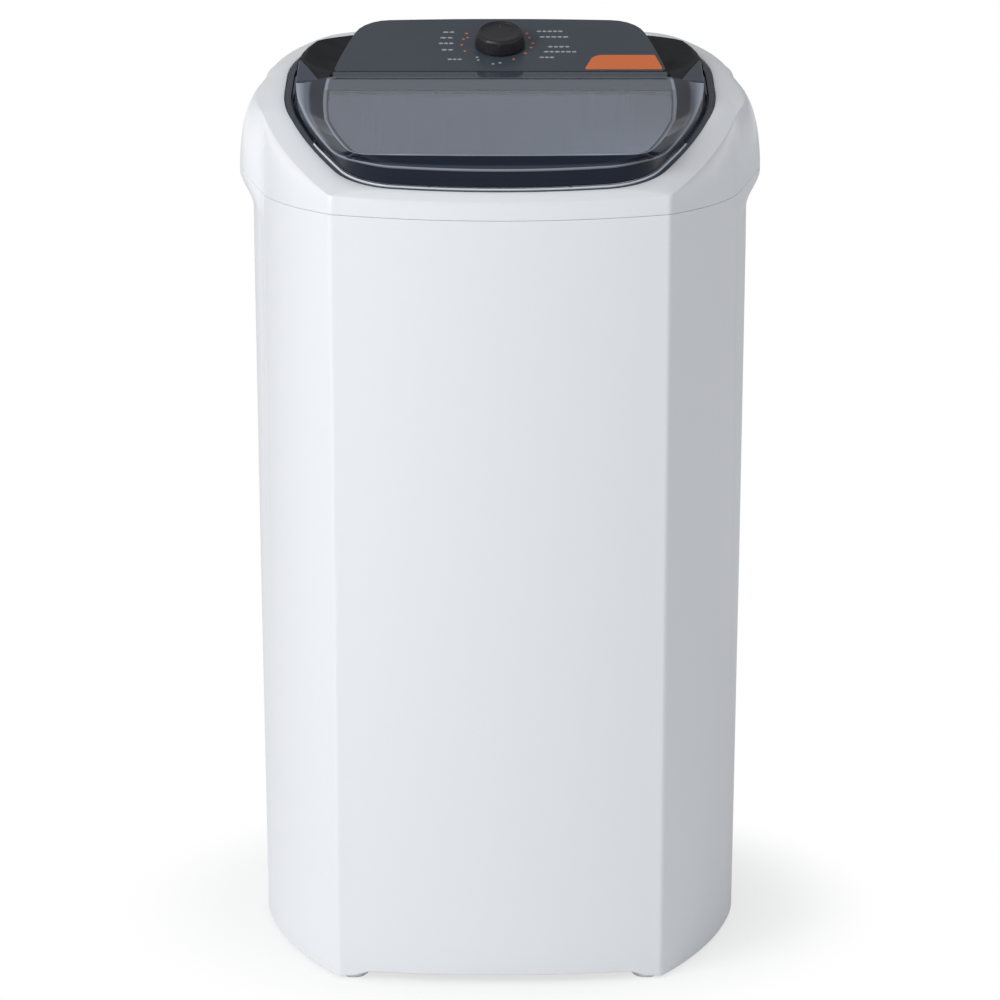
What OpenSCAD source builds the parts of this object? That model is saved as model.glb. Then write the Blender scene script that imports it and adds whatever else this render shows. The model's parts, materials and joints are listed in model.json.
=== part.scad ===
// Semi-automatic washing machine: eight-sided plastic cabinet, sloping top with a smoked lid,
// dial panel, wash tub with impeller, and the belt drive below. Millimetres, Z up, front towards -Y.

/* [Cabinet] */
// Width of the front panel at the seam
front_w = 352; // [340:2:360]
// Width of the front panel at the floor
front_low_w = 348; // [340:2:354]
// Width across the side panel's corner edges
side_w = 515; // [505:5:525]
// Half length of a side panel, front to back
side_half_l = 81; // [75:1:88]
// Depth across the front and rear corner edges
corner_d = 564; // [556:2:570]
// Outward bulge of the front and rear panels
front_bulge = 18; // [12:1:20]
// Outward bulge of the corner panels
diagonal_bulge = 10; // [6:1:12]
// Outward bulge of the side panels at the floor
side_bulge_low = 9; // [6:1:10]
// Outward bulge of the side panels at half height
side_bulge_mid = 13; // [10:1:14]
// Outward bulge of the side panels under the grip
side_bulge_high = 15.5; // [14:0.5:17]
// Outward bulge of the side panels at the seam, which makes the grip
side_bulge_seam = 30.5; // [26:0.5:31]
// Wall thickness of the cabinet and the cover
wall = 3; // [2.5:0.1:3.5]
// Height of the seam at the front corners
seam_z = 823; // [818:1:826]
// Extra height of the seam at the sides
seam_rise = 22; // [18:1:24]
// Drop of the seam at the middle of the front
seam_dip = 5; // [3:1:6]
// Height of the front edge above the floor
front_edge_z = 10; // [8:1:11]

/* [Opening and lid] */
// Height of the opening's rim at its front
rim_z = 847.5; // [844:0.5:850]
// Rise of the rim for each millimetre towards the rear
rim_slope = 0.3; // [0.28:0.01:0.31]
// Width of the opening
rim_w = 470; // [466:2:472]
// Height of the lid's skirt above the rim at its front
skirt_front = 19; // [16:0.5:20]
// Height of the lid's skirt above the rim at its corners
skirt_low = 8; // [7:0.5:11]
// Height of the lid's skirt above the rim at the hinge
skirt_rear = 16; // [15:0.5:17]
// Height of the lid's window at its front edge
window_z = 886; // [882:1:888]
// Rise of the window for each millimetre towards the rear
window_slope = 0.263; // [0.255:0.001:0.27]
// Width of the window
window_w = 368; // [360:2:370]
// Thickness of the lid
lid_wall = 2.6; // [2.2:0.1:3]
// Radius of the lid's hinge pins
pin_r = 2.5; // [2:0.1:2.7]

/* [Control panel] */
// Slope of the control panel in degrees
panel_tilt = 25.5; // [24:0.5:27]
// Width of the control panel at its lower edge
panel_w = 368; // [360:2:370]
// Width of the control panel at its upper corners
panel_top_w = 308; // [300:2:316]
// Length of the control panel along its slope
panel_l = 116; // [112:1:118]
// Thickness of the control panel
panel_t = 3; // [2.5:0.1:3.2]
// Diameter of the knob
knob_d = 56; // [50:1:58]
// Height of the knob
knob_h = 17; // [14:1:20]
// Distance of the knob from the panel's lower edge
knob_y = 59; // [57:1:61]

/* [Wash tub] */
// Inner radius of the tub at its mouth
tub_r = 228; // [222:1:230]
// Inner radius of the tub at its floor
tub_floor_r = 205; // [200:1:210]
// Height of the tub's floor
tub_floor_z = 213; // [211:1:216]
// Wall thickness of the tub
tub_wall = 3; // [2.5:0.1:3.5]
// Radius of the impeller
impeller_r = 165; // [150:1:175]
// Height of the impeller's fins above its disc
fin_h = 24; // [16:1:28]
// Number of fins
fin_n = 4; // [3:1:6]

/* [Drive] */
// Pitch radius of the large pulley
pulley_r = 104; // [98:1:108]
// Pitch radius of the motor pulley
motor_pulley_r = 26; // [24:1:28]
// Distance between the two pulley shafts
drive_span = 200; // [196:1:203]
// Radius of the impeller shaft
shaft_r = 8; // [7:0.5:9]
// Radius of the motor's can
motor_r = 62; // [56:1:64]
// Radius of the bore where the drain hose fits
drain_r = 13; // [12:0.5:14]
// Radius of the bore for the power cord
cord_r = 4; // [3.5:0.1:4.5]

/* [Node] */
// Piece to draw

/* [Hidden] */

gap = 0.3;
running = 0.04;
round_fn = 64;
arc_steps = 5;
edge_steps = 6;
half_corner_d = corner_d / 2;
rim_half = rim_w / 2;
rim_front_y = 2 - half_corner_d;
rim_z0 = rim_z - rim_slope * rim_front_y;
tub_y = -10;
white = [0.93, 0.94, 0.95];
navy = [0.13, 0.15, 0.19];
smoke = [0.24, 0.27, 0.32];
black = [0.07, 0.07, 0.08];
slate = [0.27, 0.29, 0.32];
orange = [0.86, 0.40, 0.20];
steel = [0.66, 0.67, 0.69];
rubber = [0.05, 0.05, 0.05];
tub_grey = [0.86, 0.88, 0.90];

// Plane vectors and rounded outlines; a corner is [x, y, radius] and corners run anticlockwise.
function flat(p) = [p.x, p.y];
function unit(v) = v / norm(v);
function left_of(v) = [-v.y, v.x];
function prev(i, n) = (i + n - 1) % n;
function next(i, n) = (i + 1) % n;
function into(c, i) = flat(c[i]) - flat(c[prev(i, len(c))]);
function away(c, i) = flat(c[next(i, len(c))]) - flat(c[i]);
function turn(c, i) =
  let (a = into(c, i), b = away(c, i))
  atan2(a.x * b.y - a.y * b.x, a * b);
function tangent(c, i) = c[i][2] * tan(turn(c, i) / 2);
function bulge(c, b, i, p) =
  let (s = flat(c[i]), e = away(c, i), t = (p - s) * e / (e * e))
  -left_of(unit(e)) * b[i] * 4 * t * (1 - t);
function corner_arc(c, b, i) =
  let (
    r = c[i][2],
    d = unit(into(c, i)),
    from = flat(c[i]) - d * tangent(c, i),
    to = flat(c[i]) + unit(away(c, i)) * tangent(c, i),
    mid = from + left_of(d) * r,
    start = atan2(from.y - mid.y, from.x - mid.x),
    b0 = bulge(c, b, prev(i, len(c)), from),
    b1 = bulge(c, b, i, to)
  )
  [for (k = [0:arc_steps])
    let (u = k / arc_steps, a = start + turn(c, i) * u)
    mid + r * [cos(a), sin(a)] + b0 * (1 - u) + b1 * u];
function edge_run(c, b, i) =
  let (
    d = unit(away(c, i)),
    from = flat(c[i]) + d * tangent(c, i),
    to = flat(c[next(i, len(c))]) - d * tangent(c, next(i, len(c)))
  )
  [for (k = [1:edge_steps])
    let (p = from + (to - from) * k / (edge_steps + 1))
    p + bulge(c, b, i, p)];
function ring(c, b) = [for (i = [0:len(c) - 1]) each concat(corner_arc(c, b, i), edge_run(c, b, i))];
function octagon(front, side, rear, r, b) =
  ring(
    [[-front[0], front[1], r[0]], [front[0], front[1], r[0]],
     [side[0], side[1], r[1]], [side[0], side[2], r[2]],
     [rear[0], rear[1], r[3]], [-rear[0], rear[1], r[3]],
     [-side[0], side[2], r[2]], [-side[0], side[1], r[1]]],
    [b[0], b[1], b[2], b[3], b[4], b[3], b[2], b[1]]);
function inset(r, d) =
  let (n = len(r))
  [for (i = [0:n - 1]) r[i] + left_of(unit(r[next(i, n)] - r[prev(i, n)])) * d];
function clamp01(t) = max(0, min(1, t));

// Rings in space, and closed skins over them.
function level(r, z) = [for (p = r) [p.x, p.y, z]];
function stack(r, z, dz) = [for (i = [0:len(r) - 1]) [r[i].x, r[i].y, z[i] + dz]];
function rim_at(y) = rim_z0 + rim_slope * y;
function on_rim(r, lift) = [for (p = r) [p.x, p.y, rim_at(p.y) + lift]];
function between(a, b, t) = a + (b - a) * t;
function band(a, b, n) =
  [for (i = [0:n - 1])
    let (j = next(i, n))
    each [[a * n + i, b * n + i, b * n + j], [a * n + i, b * n + j, a * n + j]]];
module sleeve(rings) {
  n = len(rings[0]);
  m = len(rings);
  polyhedron(
    points = [for (r = rings) each r],
    faces = [for (k = [0:m - 1]) each band(k, (k + 1) % m, n)],
    convexity = 10);
}
module dome(rings) {
  n = len(rings[0]);
  m = len(rings);
  polyhedron(
    points = [for (r = rings) each r],
    faces = concat(
      [[for (i = [0:n - 1]) i]],
      [for (k = [0:m - 2]) each band(k, k + 1, n)],
      [[for (i = [n - 1:-1:0]) (m - 1) * n + i]]),
    convexity = 10);
}

// Cabinet outlines.
function cabinet(width, side_bulge) =
  octagon([width / 2, -half_corner_d], [side_w / 2, -side_half_l, side_half_l],
    [width / 2, half_corner_d], [7, 9, 9, 7],
    [front_bulge, diagonal_bulge, side_bulge, diagonal_bulge, front_bulge]);
function seam_at(p) =
  seam_z + seam_rise * clamp01((abs(p.x) - side_w / 2) / 25)
  - (p.y < 0 ? seam_dip * max(0, 1 - pow(2 * p.x / front_w, 2)) : 0);
function floor_at(p) =
  3 + (front_edge_z - 3) * clamp01((162 - abs(p.x)) / 22) * clamp01((abs(p.y) - 262) / 16);
seam_ring = cabinet(front_w, side_bulge_seam);
seam_heights = [for (p = seam_ring) seam_at(p)];
low_ring = cabinet(front_low_w, side_bulge_low);
low_heights = [for (p = low_ring) floor_at(p)];
mid_ring = cabinet((front_w + front_low_w) / 2, side_bulge_mid);
high_ring = cabinet(front_w, side_bulge_high);
grip_drop = 40;
function grip_ring(t) =
  cabinet(front_w, side_bulge_high + (side_bulge_seam - side_bulge_high) * (3 - 2 * t) * t * t);
grip_steps = 4;
ledge_z = 776;
ledge_w = 6;
base_z = 14;
base_t = 4;
base_ledge_z = base_z + base_t + gap;
seam_chamfer = 0.7;

drain_pos = [-50, 125];
drain_z = 72;
rear_y = half_corner_d + 15.8;
gland_pos = [60, 150];
gland_r = 9;

module body_shell()
  color(white)
    difference() {
      sleeve(concat(
        [stack(low_ring, low_heights, 0),
         level(mid_ring, 400)],
        [for (k = [0:grip_steps])
          let (t = k / grip_steps)
          stack(grip_ring(t), seam_heights, -grip_drop * (1 - t) - 1)],
        [stack(inset(seam_ring, seam_chamfer), seam_heights, -gap),
         stack(inset(seam_ring, wall), seam_heights, -gap)],
        [for (k = [grip_steps - 1:-1:0])
          let (t = k / grip_steps)
          stack(inset(grip_ring(t), wall), seam_heights, -grip_drop * (1 - t) - 1)],
        [level(inset(high_ring, wall), ledge_z),
         level(inset(high_ring, wall + ledge_w), ledge_z),
         level(inset(high_ring, wall + ledge_w), ledge_z - 4),
         level(inset(high_ring, wall), ledge_z - 14),
         level(inset(mid_ring, wall), 400),
         level(inset(low_ring, wall), base_ledge_z + 16),
         level(inset(low_ring, wall + ledge_w + 6), base_ledge_z + 8),
         level(inset(low_ring, wall + ledge_w + 6), base_ledge_z),
         level(inset(low_ring, wall), base_ledge_z),
         stack(inset(low_ring, wall), low_heights, 0)]));
      translate([drain_pos.x, rear_y - 30, drain_z])
        rotate([-90, 0, 0])
          cylinder(h = 60, r = drain_r + 4 + gap, $fn = round_fn);
      translate([gland_pos.x, rear_y - 30, gland_pos.y])
        rotate([-90, 0, 0])
          cylinder(h = 60, r = gland_r + gap, $fn = round_fn);
    }

// Base, feet and their screws.
foot_pos = [front_low_w / 2 - 17, half_corner_d - 17];
function on_ledge(a, b, bow, t) =
  a + (b - a) * t + left_of(unit(b - a)) * (bow * 4 * t * (1 - t) - wall - ledge_w - 3);
rear_corner = [front_low_w / 2, half_corner_d];
side_corner = [side_w / 2, side_half_l];
screw_line = [
  on_ledge([-rear_corner.x, rear_corner.y], rear_corner, front_bulge, 0.75),
  on_ledge(rear_corner, side_corner, diagonal_bulge, 0.5),
  on_ledge(side_corner, [side_corner.x, -side_corner.y], side_bulge_low, 0.5)];
base_screw_pos = [for (p = screw_line, sx = [-1, 1], sy = [-1, 1])
  if (p.y > 1 || sy > 0) [sx * p.x, sy * p.y]];
module base_plate()
  color(white)
    difference() {
      union() {
        translate([0, 0, base_z])
          linear_extrude(base_t)
            polygon(inset(low_ring, wall + 0.6));
        translate([0, tub_y, base_z])
          cylinder(h = base_t + 10, r = 96, $fn = 96);
      }
      translate([0, tub_y, base_z - 1])
        cylinder(h = base_t + 12, r = 92, $fn = 96);
      for (sx = [-1, 1], sy = [-1, 1])
        translate([sx * foot_pos.x, sy * foot_pos.y, base_z - 1])
          cylinder(h = base_t + 2, r = 2.6 + gap, $fn = 32);
      for (p = base_screw_pos)
        translate([p.x, p.y, base_z - 1])
          cylinder(h = base_t + 2, r = 2.2, $fn = 24);
      for (sx = [-1, 1], k = [0:6])
        translate([sx * 165, -60 + 20 * k, base_z - 1])
          linear_extrude(base_t + 2)
            square([60, 6], center = true);
    }
module foot(sx, sy)
  color([0.80, 0.81, 0.83])
    translate([sx * foot_pos.x, sy * foot_pos.y, 0])
      rotate_extrude($fn = 48)
        polygon([[0, 0], [12, 0], [15, 2.5], [16, 6], [16, base_z - gap], [2.6, base_z - gap],
          [2.6, base_z + base_t + gap], [3.4, base_z + base_t + 1], [2, base_z + base_t + 5],
          [0, base_z + base_t + 5]]);
module base_screws()
  color(steel)
    for (p = base_screw_pos)
      translate([p.x, p.y, base_z - 2.6])
        rotate_extrude($fn = 24)
          polygon([[0, 0], [3.4, 0], [4, 1], [4, 2.4], [1.9, 2.4], [1.9, 10], [0, 12]]);

// Top cover.
crest = octagon([front_w / 2 + 1, 3 - half_corner_d], [side_w / 2 + 0.5, -50, 68],
  [front_w / 2 + 12, half_corner_d - 94], [8, 40, 60, 50], [18, 8, 8, 14, 8]);
crest_heights = [for (p = crest) rim_at(p.y) - 5];
rim = octagon([rim_half - 83, rim_front_y + 12], [rim_half, -45, 85],
  [rim_half - 67, half_corner_d - 110], [70, 260, 150, 55], [16, 9, 2, 6, 10]);
wall_steps = 9;
wall_end = 88;
function wall_in(t) = (1 - cos(wall_end * t)) / (1 - cos(wall_end));
function wall_up(t) = sin(wall_end * t) / sin(wall_end);
function wall_ring(t, d, drop) =
  let (s = inset(seam_ring, d * cos(wall_end * t)), c = inset(crest, d * cos(wall_end * t)))
  [for (i = [0:len(s) - 1])
    let (p = between(s[i], c[i], wall_in(t)))
    [p.x, p.y, seam_heights[i] + 1
      + (crest_heights[i] - seam_heights[i] - 1) * wall_up(t) - drop * sin(wall_end * t)]];
rim_step = 10;
skirt_drop = 12;
skirt_ring = grip_ring(1 - (skirt_drop + 1) / grip_drop);
module top_cover()
  color(white)
    sleeve(concat(
      [stack(inset(skirt_ring, wall + 2 * gap), seam_heights, -skirt_drop),
       stack(inset(seam_ring, wall + 2 * gap), seam_heights, gap),
       stack(inset(seam_ring, seam_chamfer), seam_heights, gap)],
      [for (k = [0:wall_steps]) wall_ring(k / wall_steps, 0, 0)],
      [let (m = between(crest, rim, 0.5)) on_rim(m, -1.2),
       on_rim(inset(rim, -1), 0.2),
       on_rim(rim, -0.4),
       on_rim(rim, -rim_step),
       on_rim(inset(rim, 8), -rim_step),
       on_rim(inset(rim, 8), -rim_step - wall),
       on_rim(inset(rim, -wall), -rim_step - wall),
       on_rim(inset(rim, -wall), -4)],
      [for (k = [wall_steps:-1:1]) wall_ring(k / wall_steps, wall, wall)],
      [stack(inset(seam_ring, 2 * wall), seam_heights, 4),
       stack(inset(skirt_ring, 2 * wall), seam_heights, -skirt_drop)]));
module cover_screws()
  color(steel)
    for (x = [-120, -60, 60, 120])
      translate([x, half_corner_d + front_bulge * (1 - pow(2 * x / front_w, 2)) + 1.9, seam_z - 6])
        rotate([90, 0, 0])
          rotate_extrude($fn = 24)
            polygon([[0, 0], [3, 0], [3.6, 0.6], [3.6, 1.6], [1.7, 1.6], [1.7, 10], [0, 11.5]]);

// Dark ring in the opening, which carries the lid and the console.
bezel_lip = 7.6;
bezel_flange = 22;
flange_lift = -6;
module opening_bezel()
  color(navy)
    sleeve([
      on_rim(inset(rim, 0.4), gap - rim_step),
      on_rim(inset(rim, 0.4), -1.6),
      on_rim(inset(rim, 1.2), -1),
      on_rim(inset(rim, bezel_lip - 0.6), -1),
      on_rim(inset(rim, bezel_lip), -1.6),
      on_rim(inset(rim, bezel_lip), flange_lift),
      on_rim(inset(rim, bezel_flange), flange_lift),
      on_rim(inset(rim, bezel_flange), gap - rim_step)]);
function mouth(r, z) =
  [for (p = rim)
    let (d = unit(p - [0, tub_y]))
    [r * d.x, tub_y + r * d.y, z]];
tub_top_z = ledge_z + gap + tub_wall;
module tub_collar()
  color(tub_grey)
    sleeve([
      mouth(tub_r - 3, tub_top_z - 14),
      mouth(tub_r - 3, tub_top_z + 6),
      on_rim(inset(rim, 27), -30),
      on_rim(inset(rim, 23), -rim_step - wall),
      on_rim(inset(rim, 9), -rim_step - wall),
      on_rim(inset(rim, 9), -rim_step),
      on_rim(inset(rim, 26), -rim_step),
      on_rim(inset(rim, 29.5), -31),
      mouth(tub_r - 5.6, tub_top_z + 6),
      mouth(tub_r - 5.6, tub_top_z - 14)]);

// Lid, with its hinge barrel at the rear edge.
lid_rear_y = -22;
hinge_y = -6;
hinge_z = rim_at(hinge_y) + 13.8;
barrel_r = 6;
barrel_half = window_w / 2;
function window_at(y) = window_z + window_slope * (y - rim_front_y - 28);
function lid_outline(front, side, rear, r, b) =
  ring(
    [[-front[0], front[1], r[0]], [front[0], front[1], r[0]], [side[0], side[1], r[1]],
     [rear, lid_rear_y, 3], [-rear, lid_rear_y, 3], [-side[0], side[1], r[1]]],
    [b[0], b[1], b[2], 0, b[2], b[1]]);
lid_foot = lid_outline([rim_half - 88.6, rim_front_y + 20.4], [rim_half - 12.4, -54],
  rim_half - 9, [61, 185], [15.8, 8.3, 0]);
lid_step = lid_outline([rim_half - 89.6, rim_front_y + 22.2], [rim_half - 14.4, -54],
  rim_half - 11, [59, 183], [15.6, 8.1, 0]);
lid_pane = lid_outline([window_w / 2 - 31.2, rim_front_y + 19.5], [window_w / 2, -160],
  window_w / 2 + 3.5, [20, 60], [3.5, 2.5, 3]);
function ease(t) = clamp01(t) * clamp01(t) * (3 - 2 * clamp01(t));
function skirt_at(y) =
  skirt_low + (skirt_front - skirt_low) * ease((-190 - y) / 72)
  + (skirt_rear - skirt_low) * ease((y + 110) / 80);
function shelf_at(y) = 0.08 + 0.27 * ease((y + 255) / 60);
function lid_edge(d, drop) =
  [for (p = inset(lid_step, d)) [p.x, p.y, rim_at(p.y) + skirt_at(p.y) - drop]];
function lid_shelf(d, drop) =
  let (m = [for (i = [0:len(lid_step) - 1])
    between(lid_step[i], lid_pane[i], shelf_at(lid_step[i].y))])
  [for (p = inset(m, d)) [p.x, p.y, rim_at(p.y) + skirt_at(p.y) + 1.2 - drop]];
function lid_window(d, drop) = [for (p = inset(lid_pane, d)) [p.x, p.y, window_at(p.y) - drop]];
module lid_tongue(y0, y1, half, top, t)
  multmatrix([[1, 0, 0, 0], [0, 1, 0, 0], [0, window_slope, 1, window_at(0)], [0, 0, 0, 1]])
    translate([-half, y0, top - t])
      cube([2 * half, y1 - y0, t]);
module lid()
  color(smoke)
    union() {
      dome([
        lid_window(4, lid_wall),
        lid_shelf(1.6, 2.3),
        lid_edge(lid_wall, lid_wall),
        on_rim(inset(lid_foot, lid_wall), 1.2),
        on_rim(lid_foot, 1.2),
        on_rim(inset(lid_foot, -0.3), 2.4),
        lid_edge(0, 0.8),
        lid_edge(0.8, 0),
        lid_shelf(0, 0),
        lid_window(-0.8, 1.2),
        lid_window(0, 0.3),
        lid_window(1.5, 0)]);
      lid_tongue(lid_rear_y - 2, hinge_y, barrel_half, 0, 3);
      translate([-barrel_half, hinge_y, hinge_z])
        rotate([0, 90, 0])
          cylinder(h = 2 * barrel_half, r = barrel_r, $fn = round_fn);
      translate([2 - cheek_tip.x, hinge_y, hinge_z])
        rotate([0, 90, 0])
          cylinder(h = 2 * cheek_tip.x - 4, r = pin_r, $fn = 32);
    }
buffer_line = inset(rim, 9.8);
buffer_pos = [for (i = [6, 11, 21, 92]) buffer_line[i]];
module lid_buffers()
  color(rubber)
    for (p = buffer_pos)
      translate([p.x, p.y, rim_at(p.y) + flange_lift + 0.9])
        cylinder(h = 5.2, r = 1.9, $fn = 24);

// Trims carry on the line of the lid's skirt behind it, beside the console's cheeks.
cover_in = barrel_half + 3;
cover_out = inset(rim, 9);
side_band = rim_half - 9 - cover_in;
cheek_tip = [cover_in + side_band * 0.282, lid_rear_y + 0.8];
cheek_end = [cover_in + side_band * 0.897, 45];
module rim_prism(lo, hi)
  multmatrix([[1, 0, 0, 0], [0, 1, 0, 0], [0, rim_slope, 1, rim_z0], [0, 0, 0, 1]])
    translate([0, 0, lo])
      linear_extrude(hi - lo)
        children();
module along_rim()
  multmatrix([[1, 0, 0, 0], [0, 1, 0, 0], [0, rim_slope, 1, rim_z0], [0, 0, 0, 1]])
    rotate([90, 0, 0])
      translate([0, 0, -230])
        linear_extrude(270)
          children();
module hinge_plan()
  polygon(concat(
    [cheek_end + [gap, 0], cheek_tip + [gap, 0], [rim_half - 9.4, cheek_tip.y]],
    [for (p = cover_out) if (p.x > 0 && p.y > lid_rear_y + 3 && p.y < 48) p]));
module hinge_cover(side)
  color(navy)
    scale_x(side)
      intersection() {
        rim_prism(flange_lift + gap, 30)
          hinge_plan();
        along_rim()
          polygon([[cover_in, -8], [rim_half, -8], [rim_half, 0], [rim_half - 9.2, 1.2],
            [rim_half - 11, skirt_rear - 1], [rim_half - 12, skirt_rear],
            [rim_half - 22, skirt_rear + 1], [cover_in, skirt_rear + 2]]);
      }
module scale_x(side)
  if (side < 0)
    mirror([1, 0, 0])
      children();
  else
    children();

// Console: a tray over the rear of the opening with an open pod closed by the control panel.
panel_y = 5 + panel_t * sin(panel_tilt);
panel_z = rim_at(5) + 18 - panel_t * cos(panel_tilt);
tray_lo = flange_lift + gap;
tray_t = 3;
tray_hi = 2;
pod_front_y = 8;
module on_panel()
  translate([0, panel_y, panel_z])
    rotate([panel_tilt, 0, 0])
      children();
module panel_plan(d, top_r)
  polygon(inset(
    ring([[-panel_w / 2, 0, 5], [panel_w / 2, 0, 5],
        [panel_top_w / 2, panel_l, top_r], [-panel_top_w / 2, panel_l, top_r]],
      [0, 2, 4, 2]), d));
module tray_plan()
  polygon(concat(
    [[cover_in + 0.3, 15], cheek_end + [0, 4.6]],
    [for (p = cover_out) if (p.y > 52) p],
    [[-cheek_end.x, cheek_end.y + 4.6], [-cover_in - 0.3, 15]]));
module cheek_plan()
  polygon(concat(
    [[cover_in, cheek_tip.y], cheek_tip, cheek_end, cheek_end + [0, 4.6]],
    [for (p = cover_out) if (p.x > rim_half - 75 && p.y > 52) p],
    [[dish_start.x - 13, half_corner_d - 124], dish_start, [panel_w / 2 - 16, 30],
      [panel_w / 2 - 4, 14], [cover_in, 12]]));
module band_cap()
  dome([
    on_rim(inset(rim, 9), -8),
    on_rim(inset(rim, 9), 6),
    on_rim(inset(rim, 12), skirt_rear - 2),
    on_rim(inset(rim, 16), skirt_rear),
    on_rim(inset(rim, 22), skirt_rear + 1.5),
    on_rim(inset(rim, 26), 40)]);
module cheek()
  difference() {
    intersection() {
      rim_prism(tray_lo, 30)
        cheek_plan();
      band_cap();
      along_rim()
        polygon([[140, -8], [rim_half, -8], [rim_half, skirt_rear + 0.5],
          [rim_half - 9 - side_band / 3, skirt_rear + 1],
          [cover_in + side_band * 0.31, skirt_rear + 2],
          [cover_in + side_band * 0.2, skirt_rear + 3], [cover_in - 1, skirt_rear + 5],
          [140, skirt_rear + 5]]);
    }
    translate([dish_start.x, dish_start.y - dish_r * sin(rim_tilt),
      rim_at(dish_start.y) + tray_hi + dish_r * cos(rim_tilt)])
      rotate([0, acos(unit(dish_way).z), atan2(dish_way.y, dish_way.x)])
        rotate_extrude($fn = 96)
          polygon(concat(
            [for (a = [0:7.5:90]) dish_r * [sin(a), -cos(a)]],
            [[dish_r, 220], [0, 220]]));
    translate([cover_in - 1, hinge_y, hinge_z])
      rotate([0, 90, 0])
        cylinder(h = cheek_tip.x - cover_in + 0.5, r = pin_r + running, $fn = 32);
  }
dish_r = 90;
dish_start = [panel_w / 2 - 14, 48];
dish_way = [-20, 165, 165 * rim_slope];
rim_tilt = atan(rim_slope);
pod_rear = 109;
module pod_block(d, front, rear)
  intersection() {
    translate([0, 0, rim_at(5) - 33])
      linear_extrude(120)
        union() {
          polygon([[-panel_w / 2 + 3 + d, front], [panel_w / 2 - 3 - d, front],
            [panel_top_w / 2 + 5 - d, 80], [panel_top_w / 2 - 6 - d, rear - 14],
            [panel_top_w / 2 - 34 - d, rear], [-panel_top_w / 2 + 34 + d, rear],
            [-panel_top_w / 2 + 6 + d, rear - 14], [-panel_top_w / 2 - 5 + d, 80]]);
        }
    on_panel()
      translate([-panel_w, -40, -80])
        cube([2 * panel_w, 2 * panel_l, 80 - gap]);
  }
module console_housing()
  color(black)
    difference() {
      union() {
        rim_prism(tray_lo, tray_hi)
          tray_plan();
        difference() {
          pod_block(0, pod_front_y, pod_rear);
          below_rim(tray_lo);
        }
        rear_ramp();
        for (side = [-1, 1])
          scale_x(side)
            cheek();
      }
      difference() {
        pod_block(wall, pod_front_y + wall, pod_rear - wall);
        below_rim(tray_lo + tray_t);
      }
    }
module below_rim(lift)
  multmatrix([[1, 0, 0, 0], [0, 1, 0, 0], [0, rim_slope, 1, rim_z0], [0, 0, 0, 1]])
    translate([-panel_w, -40, lift - 80])
      cube([2 * panel_w, 300, 80]);
ramp_end = half_corner_d - 130;
ramp_top = rim_at(5) + 8 + panel_l * sin(panel_tilt);
module rear_ramp()
  difference() {
    rotate([90, 0, 90])
      translate([0, 0, 36 - panel_top_w / 2])
        linear_extrude(panel_top_w - 72)
          polygon([[pod_rear - wall, rim_at(pod_rear) - 10], [pod_rear - wall, ramp_top - 1],
            [pod_rear, ramp_top], [ramp_end, rim_at(ramp_end) - 1],
            [ramp_end, rim_at(pod_rear) - 10]]);
    below_rim(tray_lo);
  }

boss_pos = 34;
boss_h = 3;
module control_panel()
  color(slate)
    on_panel()
      difference() {
        union() {
          linear_extrude(panel_t)
            panel_plan(0, 38);
          for (sx = [-1, 1])
            translate([sx * boss_pos, knob_y, -boss_h])
              cylinder(h = boss_h + 1, r = 4, $fn = 32);
        }
        translate([0, knob_y, -1])
          cylinder(h = panel_t + 2, r = 4.5, $fn = 32);
        translate([0, 0, panel_t - 0.7])
          linear_extrude(2)
            accent_plan(0);
        for (sx = [-1, 1])
          translate([sx * boss_pos, knob_y, -boss_h - 1])
            cylinder(h = boss_h + 2.5, r = 1.3, $fn = 24);
      }
module accent_plan(d)
  polygon(inset(
    ring([[93, 3.5, 3], [180.5, 3.5, 2], [172.5, 36, 3], [104, 36, 14]], [0, 0, 0, 0]), d));
module accent_plate()
  color(orange)
    on_panel()
      translate([0, 0, panel_t - 0.65])
        linear_extrude(1)
          accent_plan(0.15);
timer_top = -boss_h - 0.2;
module timer_body()
  color([0.80, 0.80, 0.78])
    on_panel()
      difference() {
        union() {
          translate([-26, knob_y - 21, timer_top - 17])
            cube([52, 42, 17]);
          translate([-40, knob_y - 7, timer_top - 1.5])
            cube([80, 14, 1.5]);
        }
        translate([0, knob_y, timer_top - 14])
          cylinder(h = 20, r = 3 + running, $fn = 32);
        for (sx = [-1, 1])
          translate([sx * boss_pos, knob_y, timer_top - 3])
            cylinder(h = 5, r = 1.7, $fn = 24);
      }
module timer_screws()
  color(steel)
    on_panel()
      for (sx = [-1, 1])
        translate([sx * boss_pos, knob_y, timer_top - 3.6])
          rotate_extrude($fn = 24)
            polygon([[0, 0], [2.6, 0], [3, 0.6], [3, 2], [1.25, 2], [1.25, 7.2], [0, 8]]);
knob_gap = 0.8;
module timer_shaft()
  color(steel)
    on_panel()
      translate([0, knob_y, 0])
        difference() {
          translate([0, 0, timer_top - 13.5])
            cylinder(h = panel_t + 13.5 - timer_top + knob_h - 4, r = 3, $fn = 32);
          translate([1.8, -4, panel_t + knob_gap + 3])
            cube([4, 8, knob_h]);
        }
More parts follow.
